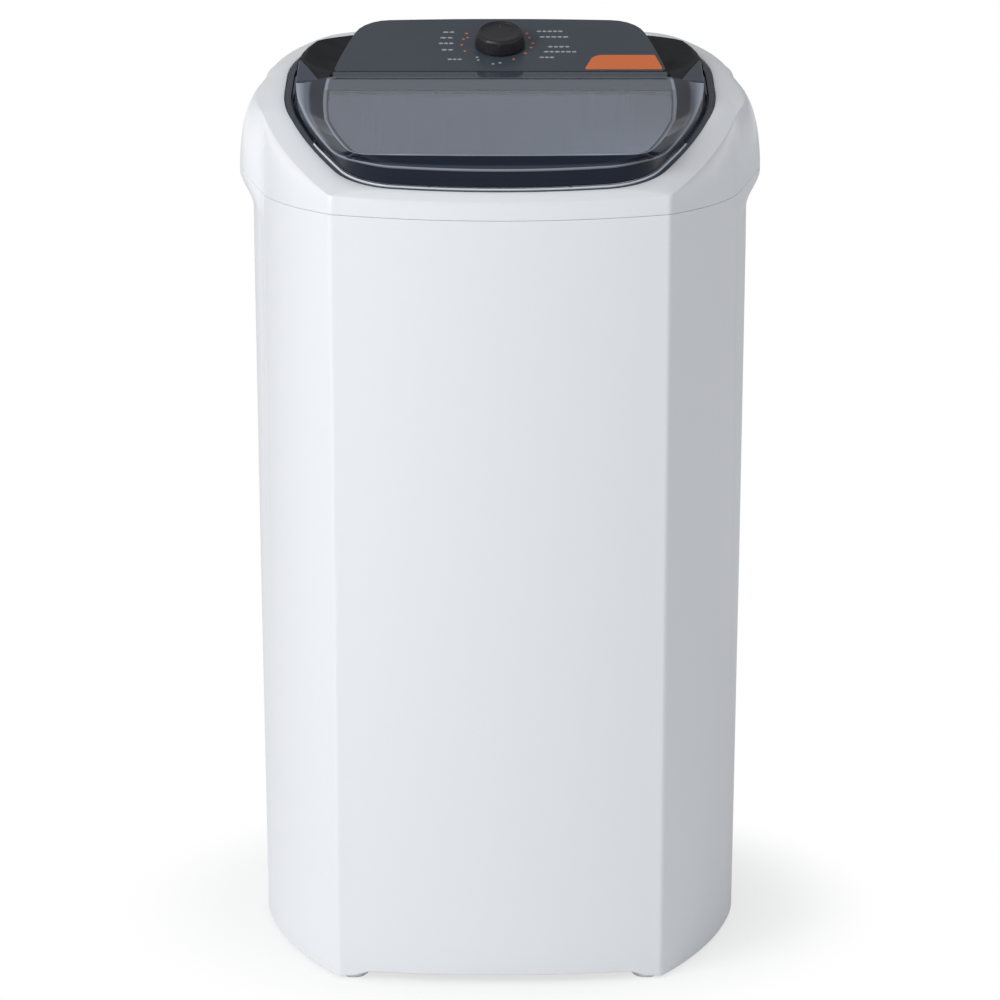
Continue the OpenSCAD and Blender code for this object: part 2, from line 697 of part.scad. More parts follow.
module timer_knob()
  color([0.13, 0.13, 0.15])
    on_panel()
      translate([0, knob_y, panel_t + knob_gap])
        difference() {
          intersection() {
            rotate_extrude($fn = 96)
              polygon([[0, 0], [knob_d / 2 - 0.6, 0], [knob_d / 2, 1], [knob_d / 2, 4],
                [knob_d / 2 - 1, knob_h - 3.4], [knob_d / 2 - 2.4, knob_h - 1],
                [knob_d / 2 - 4.4, knob_h], [knob_d / 2 - 6.4, knob_h - 1.4],
                [knob_d / 2 - 8, knob_h - 2], [0, knob_h - 1.6]]);
            rotate([0, 0, 18])
              cylinder(h = knob_h + 1, r = (knob_d / 2 - 0.35) / cos(18), $fn = 10);
          }
          translate([0, 0, -1])
            difference() {
              cylinder(h = knob_h - 2, r = 3.03, $fn = 32);
              translate([1.85, -4, 4.5])
                cube([4, 8, knob_h]);
            }
          translate([0, 0, -1])
            difference() {
              cylinder(h = 6, r = knob_d / 2 - 5, $fn = 64);
              translate([0, 0, -1])
                cylinder(h = 8, r = 6, $fn = 48);
            }
          rotate([0, 0, 90])
            translate([0, -0.8, knob_h - 3])
              cube([knob_d / 2 - 9, 1.6, 4]);
        }

// Wash tub, its lint filter and its drain.
tub_bottom_z = tub_floor_z - tub_wall;
spigot_r = 14;
module tub_flange_plan()
  polygon(inset(high_ring, wall + 0.8));
module wash_tub()
  color(tub_grey)
    difference() {
      union() {
        translate([0, tub_y, 0])
          rotate_extrude($fn = 128)
            polygon([[0, tub_bottom_z], [tub_floor_r - 30, tub_bottom_z],
              [tub_floor_r - 10, tub_bottom_z + 6], [tub_floor_r, tub_bottom_z + 20],
              [tub_floor_r + 3, tub_bottom_z + 34], [tub_r + tub_wall, tub_top_z],
              [tub_r, tub_top_z], [tub_floor_r, tub_bottom_z + 36],
              [tub_floor_r - 3, tub_bottom_z + 22], [tub_floor_r - 12, tub_bottom_z + 9],
              [tub_floor_r - 31, tub_floor_z], [0, tub_floor_z]]);
        translate([0, 0, ledge_z + gap])
          linear_extrude(tub_wall)
            difference() {
              tub_flange_plan();
              translate([0, tub_y])
                circle(r = tub_r + 1, $fn = 128);
            }
      }
      translate([0, tub_y, tub_bottom_z - 1])
        cylinder(h = tub_wall + 2, r = spigot_r + gap, $fn = round_fn);
      translate([drain_pos.x, drain_pos.y, tub_bottom_z - 1])
        cylinder(h = tub_wall + 2, r = 18 + gap, $fn = round_fn);
      for (a = bracket_angles)
        translate([72 * cos(a), tub_y + 72 * sin(a), tub_bottom_z - 1])
          cylinder(h = tub_wall + 2, r = 3.2, $fn = 24);
    }
filter_turn = 25;
filter_w = 96;
filter_z = 570;
filter_h = 150;
filter_x = 190;
module at_filter()
  translate([0, tub_y, 0])
    rotate([0, 0, filter_turn])
      translate([-filter_x, 0, filter_z])
        children();
module filter_holder()
  color(tub_grey)
    at_filter()
      difference() {
        union() {
          translate([-6, -filter_w / 2 - 6, -4])
            cube([22, filter_w + 12, filter_h + 4]);
          translate([-26.9, -20, -4])
            cube([22, 40, 40]);
        }
        translate([0, -filter_w / 2 - 0.5, 0])
          cube([11, filter_w + 1, filter_h + 10]);
        translate([5, -filter_w / 2 + 5, -5])
          cube([20, filter_w - 10, filter_h + 20]);
        for (k = [0:5])
          translate([-7, -33, 14 + 22 * k])
            cube([8, 66, 8]);
      }
module lint_filter()
  color([0.25, 0.45, 0.72])
    at_filter()
      difference() {
        union() {
          translate([0.5, -filter_w / 2, 0.4])
            cube([10, filter_w, filter_h + 4]);
          translate([0.5, -20, filter_h + 4])
            cube([10, 40, 14]);
        }
        translate([3, -filter_w / 2 + 8, 8])
          cube([20, filter_w - 16, filter_h - 12]);
        translate([-1, -14, filter_h + 7])
          cube([20, 28, 7]);
        for (k = [0:8])
          translate([-1, -filter_w / 2 + 10, 12 + 15 * k])
            cube([20, filter_w - 20, 7]);
      }
module drain_strainer()
  color(tub_grey)
    translate([drain_pos.x, drain_pos.y, tub_floor_z + gap])
      difference() {
        union() {
          cylinder(h = 3, r1 = 25, r2 = 23, $fn = round_fn);
          translate([0, 0, -8])
            cylinder(h = 8, r = 14.4, $fn = round_fn);
        }
        translate([0, 0, -9])
          cylinder(h = 10, r = 12.4, $fn = round_fn);
        for (k = [-2:2])
          translate([-9, 4.6 * k - 1.2, -1])
            cube([18, 2.4, 6]);
      }
drain_bend = 34;
module drain_elbow()
  color([0.30, 0.31, 0.33])
    translate([drain_pos.x, drain_pos.y, tub_floor_z])
      rotate_extrude($fn = round_fn)
        polygon([[15, 0], [18, 0], [18, -tub_wall - gap], [27, -tub_wall - gap],
          [27, -tub_wall - 4], [17, -tub_wall - 4], [17, -40], [15, -40]]);
hose_wall = 2.2;
hose_bore = 17 + gap / 2;
module hose_tube(h)
  linear_extrude(h)
    hose_section();
module hose_section()
  difference() {
    circle(r = hose_bore + hose_wall, $fn = round_fn);
    circle(r = hose_bore, $fn = round_fn);
  }
module drain_hose()
  color(rubber)
    union() {
      translate([drain_pos.x, drain_pos.y, drain_z + drain_bend])
        hose_tube(tub_floor_z - tub_wall - 5 - drain_z - drain_bend);
      translate([drain_pos.x, drain_pos.y + drain_bend, drain_z + drain_bend])
        rotate([90, 0, 90])
          rotate([0, 0, 180])
            rotate_extrude(angle = 90, $fn = 96)
              translate([drain_bend, 0])
                hose_section();
      translate([drain_pos.x, drain_pos.y + drain_bend, drain_z])
        rotate([-90, 0, 0])
          hose_tube(rear_y - 16 - drain_pos.y - drain_bend);
    }
module drain_socket()
  color([0.30, 0.31, 0.33])
    translate([drain_pos.x, rear_y, drain_z])
      rotate([-90, 0, 0])
        rotate_extrude($fn = round_fn)
          polygon([[drain_r, 1.6], [drain_r + 4, 1.6], [drain_r + 4, -5.6], [drain_r + 11, -5.6],
            [drain_r + 11, -7.2], [drain_r + 4, -7.2], [drain_r + 4, -40], [drain_r, -40]]);
module cord_gland()
  color(rubber)
    translate([gland_pos.x, rear_y, gland_pos.y])
      rotate([-90, 0, 0])
        rotate_extrude($fn = 48)
          polygon([[cord_r, 1.8], [gland_r + 3, 1.8], [gland_r + 3, 1], [gland_r, 1],
            [gland_r, -6.4], [gland_r + 2.5, -6.4], [gland_r + 1, -12], [cord_r, -14]]);

// Impeller, its shaft and bearings; every round drive piece stands on the tub's axis.
belt_z = 97;
housing_low_z = 138;
module on_axis(z)
  translate([0, tub_y, z])
    children();
module bearing_housing()
  color([0.55, 0.56, 0.58])
    on_axis(0)
      rotate_extrude($fn = round_fn)
        polygon([[12.02, tub_floor_z + 1.5], [spigot_r, tub_floor_z + 1.5],
          [spigot_r, tub_bottom_z - gap], [50, tub_bottom_z - gap], [50, tub_bottom_z - 5],
          [28, tub_bottom_z - 8], [20, housing_low_z + 20], [20, housing_low_z],
          [12.02, housing_low_z]]);
module bush(z0, h)
  on_axis(z0)
    rotate_extrude($fn = round_fn)
      polygon([[shaft_r + running, 0], [12, 0], [12, h], [shaft_r + running, h]]);
module upper_bush()
  color([0.72, 0.55, 0.30])
    bush(tub_bottom_z - 18, 20);
module lower_bush()
  color([0.72, 0.55, 0.30])
    bush(housing_low_z, 20);
module shaft_seal()
  color(rubber)
    bush(tub_floor_z - 0.8, 4);
module drive_shaft()
  color(steel)
    on_axis(0)
      rotate_extrude($fn = round_fn)
        polygon([[0, belt_z - 22], [5, belt_z - 22], [5, belt_z - 9], [7, belt_z - 9],
          [7, belt_z + 12], [shaft_r, belt_z + 12], [shaft_r, tub_floor_z + 6.7], [6, tub_floor_z + 6.7],
          [6, tub_floor_z + 36], [0, tub_floor_z + 36]]);
module fin(a)
  rotate([0, 0, a])
    rotate([90, 0, 0])
      translate([0, 0, -4])
        linear_extrude(8)
          polygon([[28, 12], [28, 30], [60, 12 + fin_h], [impeller_r - 34, 8 + fin_h - 4],
            [impeller_r - 10, 8], [impeller_r - 10, 5]]);
module impeller()
  color([0.90, 0.91, 0.93])
    on_axis(tub_floor_z + 5)
      difference() {
        union() {
          rotate_extrude($fn = 128)
            polygon([[6.03, 2], [18, 2], [20, 9], [40, 7], [impeller_r - 20, 2], [impeller_r - 3, 0],
              [impeller_r, 0], [impeller_r, 3], [impeller_r - 20, 6], [60, 12], [36, 24], [20, 28],
              [6.03, 28]]);
          for (k = [0:fin_n - 1])
            fin(360 * k / fin_n);
        }
        for (k = [0:fin_n - 1], q = [0:3])
          rotate([0, 0, 360 * (k + 0.5) / fin_n])
            translate([64 + 18 * q, 0, -1])
              cylinder(h = 20, r = 3, $fn = 24);
      }
module impeller_cap()
  color(tub_grey)
    on_axis(tub_floor_z + 33 + gap)
      rotate_extrude($fn = 48)
        polygon([[6.1, 0], [17, 0], [16, 5], [11, 8], [0, 9], [0, 4], [6.1, 4]]);

// Belt and pulleys.
groove_top = 6.5;
groove_low = 3.6;
groove_d = 9;
belt_in = 3;
belt_lap = 0.8;
belt_out = 3.4;
motor_pos = [drive_span * 0.6, tub_y + drive_span * 0.8];
belt_lean = asin((pulley_r - motor_pulley_r) / drive_span);
module groove(r)
  polygon([[r + 5, groove_top - 0.4], [r + 4, groove_top - 0.4], [r - groove_d + 4, groove_low],
    [r - groove_d + 4, -groove_low], [r + 4, 0.4 - groove_top], [r + 5, 0.4 - groove_top]]);
module belt_section(r, d)
  polygon([[r - belt_in + d, belt_mid(-belt_in) - gap - d], [r + belt_out - d, belt_mid(belt_out) - gap - d],
    [r + belt_out - d, gap + d - belt_mid(belt_out)], [r - belt_in + d, gap + d - belt_mid(-belt_in)]]);
function belt_mid(s) = groove_low + (groove_top - 0.4 - groove_low) * (s + groove_d - 4) / groove_d;
module drive_pulley()
  color([0.16, 0.16, 0.17])
    on_axis(belt_z)
      difference() {
        rotate_extrude($fn = 128)
          difference() {
            polygon([[7.03, -9], [20, -9], [20, -3], [pulley_r - 12, -3], [pulley_r - 12, -8],
              [pulley_r + 4, -8], [pulley_r + 4, 8], [pulley_r - 12, 8], [pulley_r - 12, 3],
              [20, 3], [20, 11.5], [7.03, 11.5]]);
            groove(pulley_r);
          }
        for (k = [0:4])
          rotate([0, 0, 72 * k])
            translate([(20 + pulley_r - 12) / 2, 0, -10])
              cylinder(h = 20, r = 22, $fn = 48);
      }
module pulley_nut()
  color(steel)
    on_axis(belt_z - 18)
      difference() {
        cylinder(h = 8.6, r = 10, $fn = 6);
        translate([0, 0, -1])
          cylinder(h = 12, r = 5.03, $fn = 32);
      }
module belt_frame()
  on_axis(belt_z)
    rotate([0, 0, atan2(0.8, 0.6)])
      children();
module drive_belt()
  color(rubber)
    belt_frame()
      union() {
        rotate([0, 0, 90 - belt_lean])
          rotate_extrude(angle = 180 + 2 * belt_lean, $fn = 128)
            belt_section(pulley_r, 0);
        translate([drive_span, 0, 0])
          rotate([0, 0, -90 + belt_lean])
            rotate_extrude(angle = 180 - 2 * belt_lean, $fn = 64)
              belt_section(motor_pulley_r, 0);
        for (s = [-1, 1])
          rotate([0, 0, s * (90 - belt_lean)])
            rotate([90 * s, 0, 0])
              translate([0, 0, -belt_lap])
                linear_extrude(drive_span * cos(belt_lean) + 2 * belt_lap)
                  belt_section(pulley_r, 0.03);
      }
module at_motor(z)
  translate([motor_pos.x, motor_pos.y, z])
    children();
module motor_pulley()
  color(steel)
    at_motor(belt_z)
      rotate_extrude($fn = round_fn)
        difference() {
          polygon([[6.03, -9], [motor_pulley_r + 4, -9], [motor_pulley_r + 4, 8], [11, 8],
            [11, 11], [6.03, 11]]);
          groove(motor_pulley_r);
        }

// Motor, hung under the tub on rubber mounts.
motor_low_z = 122;
motor_top_z = 192;
ear_z = motor_top_z - 14;
plate_z = 202;
plate_t = 3;
bracket_angles = [-30, 60, 150, 240];
mount_pos = [for (a = [0:90:270]) [motor_pos.x + 72 * cos(a + 8), motor_pos.y + 72 * sin(a + 8)]];
module motor_bracket()
  color(steel)
    difference() {
      translate([0, 0, plate_z])
        linear_extrude(plate_t)
          difference() {
            union() {
              translate([0, tub_y])
                circle(r = 86, $fn = 96);
              translate([0, tub_y])
                rotate(atan2(0.8, 0.6))
                  translate([0, -52])
                    square([drive_span, 104]);
              translate([motor_pos.x, motor_pos.y])
                circle(r = 84, $fn = 96);
            }
            translate([0, tub_y])
              circle(r = 54, $fn = 96);
            translate([motor_pos.x, motor_pos.y])
              circle(r = 40, $fn = 64);
            translate([drain_pos.x, drain_pos.y])
              circle(r = 34, $fn = 64);
          }
      for (a = bracket_angles)
        translate([72 * cos(a), tub_y + 72 * sin(a), plate_z - 1])
          cylinder(h = plate_t + 2, r = 3.2, $fn = 24);
      for (p = mount_pos)
        translate([p.x, p.y, plate_z - 1])
          cylinder(h = plate_t + 2, r = 3.2, $fn = 24);
    }
module bracket_bolts()
  color(steel)
    for (a = bracket_angles)
      translate([72 * cos(a), tub_y + 72 * sin(a), 0]) {
        translate([0, 0, plate_z - 5])
          cylinder(h = 4.7, r = 5.6, $fn = 6);
        translate([0, 0, plate_z - 3])
          cylinder(h = 12 + tub_wall, r = 3, $fn = 24);
        translate([0, 0, tub_floor_z + gap])
          cylinder(h = 1.6, r = 6.5, $fn = 32);
      }
module motor_mounts()
  color(rubber)
    for (p = mount_pos)
      translate([p.x, p.y, ear_z - 1 + gap])
        cylinder(h = plate_z - ear_z + 1 - 2 * gap, r = 8, $fn = 32);
module motor_housing()
  color([0.30, 0.31, 0.34])
    at_motor(0)
      difference() {
        union() {
          translate([0, 0, motor_low_z])
            cylinder(h = ear_z - motor_low_z, r = motor_r, $fn = 96);
          for (a = [0:90:270])
            rotate([0, 0, a + 8])
              translate([59, -9, ear_z - 9])
                cube([21, 18, 8]);
        }
        translate([0, 0, motor_low_z + 4])
          cylinder(h = 90, r = motor_r - 4, $fn = 96);
        translate([0, 0, motor_low_z - 1])
          cylinder(h = 10, r = 6 + running, $fn = 48);
        for (a = [0:30:330])
          rotate([0, 0, a])
            translate([30, -3, motor_low_z - 1])
              cube([22, 6, 10]);
      }
module motor_end_cap()
  color([0.55, 0.56, 0.58])
    at_motor(ear_z + gap)
      difference() {
        cylinder(h = 14 - gap, r1 = motor_r, r2 = motor_r - 4, $fn = 96);
        translate([0, 0, -1])
          cylinder(h = 9, r = motor_r - 6, $fn = 96);
        translate([0, 0, -1])
          cylinder(h = 10.5, r = 6 + running, $fn = 48);
      }
module motor_shaft()
  color(steel)
    at_motor(0)
      rotate_extrude($fn = round_fn)
        polygon([[0, belt_z - 12], [6, belt_z - 12], [6, motor_low_z + 10], [40, motor_low_z + 10],
          [40, motor_top_z - 22], [6, motor_top_z - 22], [6, motor_top_z - 6], [0, motor_top_z - 6]]);
module motor_stator()
  color([0.45, 0.46, 0.48])
    at_motor(motor_low_z + 15)
      rotate_extrude($fn = 96)
        polygon([[40.5, 0], [motor_r - 4.1, 0], [motor_r - 4.1, 30], [40.5, 30]]);
module motor_windings()
  color([0.72, 0.38, 0.18])
    at_motor(motor_low_z + 15)
      for (z = [-5 - gap, 35 + gap])
        translate([0, 0, z])
          rotate_extrude($fn = 96)
            polygon([[43, -3], [45, -5], [52, -5], [54, -3], [54, 3], [52, 5], [45, 5], [43, 3]]);
module motor_fan()
  color([0.85, 0.86, 0.88])
    at_motor(belt_z + 12)
      difference() {
        union() {
          cylinder(h = 2, r = 48, $fn = 96);
          cylinder(h = 11, r = 12, $fn = 48);
          for (a = [0:36:324])
            rotate([0, 0, a])
              translate([14, -1, 1])
                cube([33, 2, 9]);
        }
        translate([0, 0, -1])
          cylinder(h = 14, r = 6.03, $fn = 48);
      }
cap_pos = [72 * cos(195), tub_y + 72 * sin(195)];
module capacitor()
  color([0.88, 0.88, 0.86])
    translate([cap_pos.x, cap_pos.y, 140]) {
      cylinder(h = 58, r = 19, $fn = round_fn);
      for (s = [-1, 1])
        translate([s * 7 - 1, -3, -9])
          cube([2, 6, 9.5]);
    }
module capacitor_clip()
  color(steel)
    translate([cap_pos.x, cap_pos.y, 0])
      rotate([0, 0, 105])
      difference() {
        union() {
          translate([0, 0, 170])
            cylinder(h = 14, r = 20.6, $fn = round_fn);
          translate([-30, -8, plate_z - 2 - gap])
            cube([60, 16, 2]);
          for (s = [-1, 1])
            translate([s * 20.5 - 1, -8, 170])
              cube([2, 16, 31]);
        }
        translate([0, 0, 150])
          cylinder(h = 48.3, r = 19 + gap / 2, $fn = round_fn);
      }

body_shell();
base_plate();
foot(-1, -1);  // foot_front_left
foot(1, -1);  // foot_front_right
foot(-1, 1);  // foot_rear_left
foot(1, 1);  // foot_rear_right
base_screws();
top_cover();
cover_screws();
opening_bezel();
tub_collar();
lid();
lid_buffers();
hinge_cover(-1);  // hinge_cover_left
hinge_cover(1);  // hinge_cover_right
console_housing();
control_panel();
accent_plate();
timer_body();
timer_screws();
timer_shaft();
timer_knob();
wash_tub();
filter_holder();
lint_filter();
drain_strainer();
drain_elbow();
drain_hose();
drain_socket();
cord_gland();
bearing_housing();
upper_bush();
lower_bush();
shaft_seal();
drive_shaft();
impeller();
impeller_cap();
drive_pulley();
pulley_nut();
drive_belt();
motor_bracket();
bracket_bolts();
motor_mounts();
motor_housing();
motor_end_cap();
motor_stator();
motor_windings();
motor_shaft();
motor_fan();
motor_pulley();
capacitor();
capacitor_clip();
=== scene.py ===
"""Looks of an eight-sided washing machine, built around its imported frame.

Metres, Z up, the front towards -Y. Camera and light come first, then the finishes, the
outlines that cabinet, cover, bezel and lid are skinned over, and the repeated small pieces.
"""
import json
import math

import bmesh
import bpy
from mathutils import Matrix, Vector, kdtree


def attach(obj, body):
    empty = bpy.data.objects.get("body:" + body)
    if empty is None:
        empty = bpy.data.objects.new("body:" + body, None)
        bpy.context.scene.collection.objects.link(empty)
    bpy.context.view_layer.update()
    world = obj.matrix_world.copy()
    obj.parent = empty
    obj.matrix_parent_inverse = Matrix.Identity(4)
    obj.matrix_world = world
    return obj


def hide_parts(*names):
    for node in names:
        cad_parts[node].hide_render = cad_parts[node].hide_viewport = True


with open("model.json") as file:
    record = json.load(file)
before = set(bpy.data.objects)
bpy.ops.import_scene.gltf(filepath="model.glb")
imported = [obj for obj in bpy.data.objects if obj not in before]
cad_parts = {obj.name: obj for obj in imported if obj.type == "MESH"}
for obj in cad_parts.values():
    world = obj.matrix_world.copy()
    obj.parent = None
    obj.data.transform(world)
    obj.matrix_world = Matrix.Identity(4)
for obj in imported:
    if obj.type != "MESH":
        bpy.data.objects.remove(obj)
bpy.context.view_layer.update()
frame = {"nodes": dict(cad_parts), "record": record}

scene = bpy.context.scene
scene.view_settings.view_transform = "Standard"
nodes = frame["nodes"]
MM = 0.001


def add_node(tree, kind, values=None, **settings):
    """A new node of a tree, with settings of its own and values of its inputs by name."""
    made = tree.nodes.new(kind)
    for key, value in settings.items():
        setattr(made, key, value)
    for key, value in (values or {}).items():
        made.inputs[key].default_value = value
    return made


def math_node(tree, operation, *values):
    """The outcome of an operation on values, each a number or a socket."""
    made = add_node(tree, "ShaderNodeMath", operation=operation)
    for socket, value in zip(made.inputs, values):
        if isinstance(value, (int, float)):
            socket.default_value = value
        else:
            tree.links.new(value, socket)
    return made.outputs[0]


# ---------------------------------------------------------------- camera, floor and light

def add_camera():
    """The photograph's view: in front, eleven degrees down, through a long lens."""
    data = bpy.data.cameras.new("front_camera")
    data.lens = 121.17
    data.sensor_width = 36
    camera = bpy.data.objects.new("front_camera", data)
    camera.location = (0, -3.73419, 1.19511)
    camera.rotation_euler = (math.radians(79), 0, 0)
    scene.collection.objects.link(camera)
    scene.camera = camera


def add_lamp():
    """The key light: a large soft lamp, high on the left in front."""
    data = bpy.data.lights.new("key", "AREA")
    data.shape = "RECTANGLE"
    data.size = data.size_y = 2.4
    data.energy = 134
    lamp = bpy.data.objects.new("key", data)
    lamp.location = (-3.4, -3.2, 2.9)
    aim = Vector((0, 0, 0.5)) - lamp.location
    lamp.rotation_mode = "QUATERNION"
    lamp.rotation_quaternion = aim.to_track_quat("-Z", "Y")
    scene.collection.objects.link(lamp)


def cleared_tree(owner):
    owner.use_nodes = True
    owner.node_tree.nodes.clear()
    return owner.node_tree


def mixed(tree, share, first, second):
    """A shader that passes from first to second as share goes from 0 to 1."""
    mix = add_node(tree, "ShaderNodeMixShader")
    for source, target in zip((share, first, second), mix.inputs):
        tree.links.new(source, target)
    return mix.outputs[0]


def add_world():
    """Even studio light, white where the camera, a gloss or a pane looks past the machine."""
    world = bpy.data.worlds.new("studio")
    tree = cleared_tree(world)
    link = tree.links.new
    output = add_node(tree, "ShaderNodeOutputWorld")
    rays = add_node(tree, "ShaderNodeLightPath")
    place = add_node(tree, "ShaderNodeTexCoord")
    split = add_node(tree, "ShaderNodeSeparateXYZ")
    overhead = add_node(tree, "ShaderNodeMapRange", {
        "From Min": 0.0, "From Max": 0.25, "To Min": 1.0, "To Max": 0.32})
    soft = add_node(tree, "ShaderNodeBackground", {"Color": (0.95, 0.97, 1, 1), "Strength": 0.54})
    bright = add_node(tree, "ShaderNodeBackground", {"Color": (1, 1, 1, 1)})
    white = add_node(tree, "ShaderNodeBackground", {"Color": (1, 1, 1, 1)})
    link(place.outputs["Generated"], split.inputs[0])
    link(split.outputs["Z"], overhead.inputs["Value"])
    link(overhead.outputs[0], bright.inputs["Strength"])
    shiny = mixed(tree, rays.outputs["Is Glossy Ray"], soft.outputs[0], bright.outputs[0])
    through = mixed(tree, rays.outputs["Is Transmission Ray"], shiny, white.outputs[0])
    link(mixed(tree, rays.outputs["Is Camera Ray"], through, white.outputs[0]), output.inputs[0])
    scene.world = world


def add_floor():
    """A pale floor that fades to the white background away from the machine."""
    mesh = bpy.data.meshes.new("studio_floor")
    half = 45
    mesh.from_pydata([(-half, -half, 0), (half, -half, 0), (half, half, 0), (-half, half, 0)],
                     [], [(0, 1, 2, 3)])
    floor = bpy.data.objects.new("studio_floor", mesh)
    scene.collection.objects.link(floor)
    material = bpy.data.materials.new("studio_floor")
    tree = cleared_tree(material)
    link = tree.links.new
    output = add_node(tree, "ShaderNodeOutputMaterial")
    matt = add_node(tree, "ShaderNodeBsdfDiffuse", {"Color": (0.93, 0.93, 0.93, 1)})
    white = add_node(tree, "ShaderNodeEmission", {"Color": (1, 1, 1, 1)})
    place = add_node(tree, "ShaderNodeTexCoord")
    length = add_node(tree, "ShaderNodeVectorMath", operation="LENGTH")
    fade = add_node(tree, "ShaderNodeMapRange", {
        "From Min": 0.27, "From Max": 0.45, "To Min": 0.66}, interpolation_type="SMOOTHSTEP")
    rays = add_node(tree, "ShaderNodeLightPath")
    link(place.outputs["Object"], length.inputs[0])
    link(length.outputs["Value"], fade.inputs["Value"])
    seen = math_node(tree, "MAXIMUM", rays.outputs["Is Camera Ray"],
                     rays.outputs["Is Transmission Ray"])
    share = math_node(tree, "MULTIPLY", seen, fade.outputs[0])
    link(mixed(tree, share, matt.outputs[0], white.outputs[0]), output.inputs[0])
    mesh.materials.append(material)


# ---------------------------------------------------------------- finishes

class Finish:
    """A Principled material whose colour, gloss and surface come from noise in the piece."""

    def __init__(self, name, metallic=0.0, ior=1.45):
        self.material = bpy.data.materials.new(name)
        self.material.use_nodes = True
        self.tree = self.material.node_tree
        self.skin = self.tree.nodes["Principled BSDF"]
        self.skin.inputs["Metallic"].default_value = metallic
        self.skin.inputs["IOR"].default_value = ior
        self.place = self.node("ShaderNodeTexCoord").outputs["Object"]

    def node(self, kind, values=None, **settings):
        return add_node(self.tree, kind, values, **settings)

    def link(self, source, target):
        self.tree.links.new(source, target)

    def stretched(self, scale):
        mapping = self.node("ShaderNodeMapping", {"Scale": scale})
        self.link(self.place, mapping.inputs["Vector"])
        return mapping.outputs[0]

    def noise(self, scale, detail=3.0, vector=None):
        made = self.node("ShaderNodeTexNoise", {"Scale": scale, "Detail": detail})
        self.link(vector or self.place, made.inputs["Vector"])
        return made.outputs["Fac"]

    def ramp(self, factor, low, high, start=0.35, end=0.65):
        """A colour that runs from low to high as factor passes from start to end."""
        made = self.node("ShaderNodeValToRGB")
        stops = made.color_ramp.elements
        stops[0].position, stops[0].color = start, (*low, 1)
        stops[1].position, stops[1].color = end, (*high, 1)
        self.link(factor, made.inputs[0])
        return made.outputs["Color"]

    def span(self, factor, low, high, start=0.3, end=0.7):
        made = self.node("ShaderNodeMapRange", {
            "From Min": start, "From Max": end, "To Min": low, "To Max": high})
        self.link(factor, made.inputs["Value"])
        return made.outputs[0]

    def blend(self, factor, low, high):
        """A colour between low and high, each a colour or a socket."""
        made = self.node("ShaderNodeMix", data_type="RGBA")
        self.link(factor, made.inputs[0])
        for socket, value in ((made.inputs[6], low), (made.inputs[7], high)):
            if isinstance(value, tuple):
                socket.default_value = (*value, 1)
            else:
                self.link(value, socket)
        return made.outputs[2]

    def colour(self, low, high, scale, start=0.35, end=0.65):
        self.link(self.ramp(self.noise(scale, 4.0), low, high, start, end),
                  self.skin.inputs["Base Color"])

    def gloss(self, low, high, scale, vector=None):
        self.link(self.span(self.noise(scale, 5.0, vector), low, high),
                  self.skin.inputs["Roughness"])

    def relief(self, factor, depth, strength):
        """Bump by a height field; a second call lies on the first."""
        bump = self.node("ShaderNodeBump", {"Strength": strength, "Distance": depth})
        self.link(factor, bump.inputs["Height"])
        before = self.skin.inputs["Normal"].links
        if before:
            self.link(before[0].from_socket, bump.inputs["Normal"])
        self.link(bump.outputs["Normal"], self.skin.inputs["Normal"])

    def grain(self, scale, depth, strength, detail=3.0, vector=None):
        self.relief(self.noise(scale, detail, vector), depth, strength)

    def coat(self, weight, roughness):
        self.skin.inputs["Coat Weight"].default_value = weight
        self.skin.inputs["Coat Roughness"].default_value = roughness


def shade(colour, factor):
    return tuple(channel * factor for channel in colour)


def surfaced(name, colour, tones, gloss, grain, metallic=0.0):
    """Two tones of a colour, a gloss and a grain, each with a scale of its own."""
    made = Finish(name, metallic)
    low, high, scale = tones
    made.colour(shade(colour, low), shade(colour, high), scale)
    made.gloss(*gloss)
    made.grain(*grain)
    return made.material


def moulded(name, colour, roughness, depth=0.00004, spread=0.03, shine=0.5, grain=900.0):
    """Injection-moulded plastic: faint flow mottle, fine pebble and slight waves."""
    made = Finish(name)
    made.skin.inputs["Specular IOR Level"].default_value = shine
    made.colour(shade(colour, 1 - spread), shade(colour, 1 + spread), 5.0)
    made.gloss(roughness - 0.04, roughness + 0.06, 35.0)
    made.grain(14.0, 0.0004, 0.12)
    made.grain(grain, depth, 0.35)
    return made.material


def turned_metal(name, colour, roughness=0.28):
    """Machined steel, bronze or aluminium with fine rings left by the tool."""
    made = Finish(name, metallic=1.0)
    made.colour(shade(colour, 0.86), shade(colour, 1.05), 60.0)
    made.gloss(roughness - 0.08, roughness + 0.12, 90.0)
    made.grain(800.0, 0.00003, 0.5, vector=made.stretched((1, 1, 6)))
    return made.material


def cast_metal(name, colour):
    """Sand-cast or pressed metal, dull and slightly rough."""
    return surfaced(name, colour, (0.75, 1.05, 40.0), (0.42, 0.62, 60.0), (420.0, 0.0003, 0.5),
                    1.0)


def painted(name, colour):
    """Stove paint over steel with a light orange-peel."""
    return surfaced(name, colour, (0.9, 1.08, 12.0), (0.28, 0.42, 30.0), (260.0, 0.0001, 0.4))


def soft_rubber(name):
    """Black rubber with a dusty bloom."""
    return surfaced(name, (0.022, 0.022, 0.024), (1, 1.9, 25.0), (0.6, 0.82, 50.0),
                    (700.0, 0.0001, 0.5))


def printed(name, colour):
    """Screen-printed ink with a slightly broken edge tone."""
    return surfaced(name, colour, (0.85, 1, 900.0), (0.45, 0.6, 400.0), (1500.0, 0.00002, 0.4))


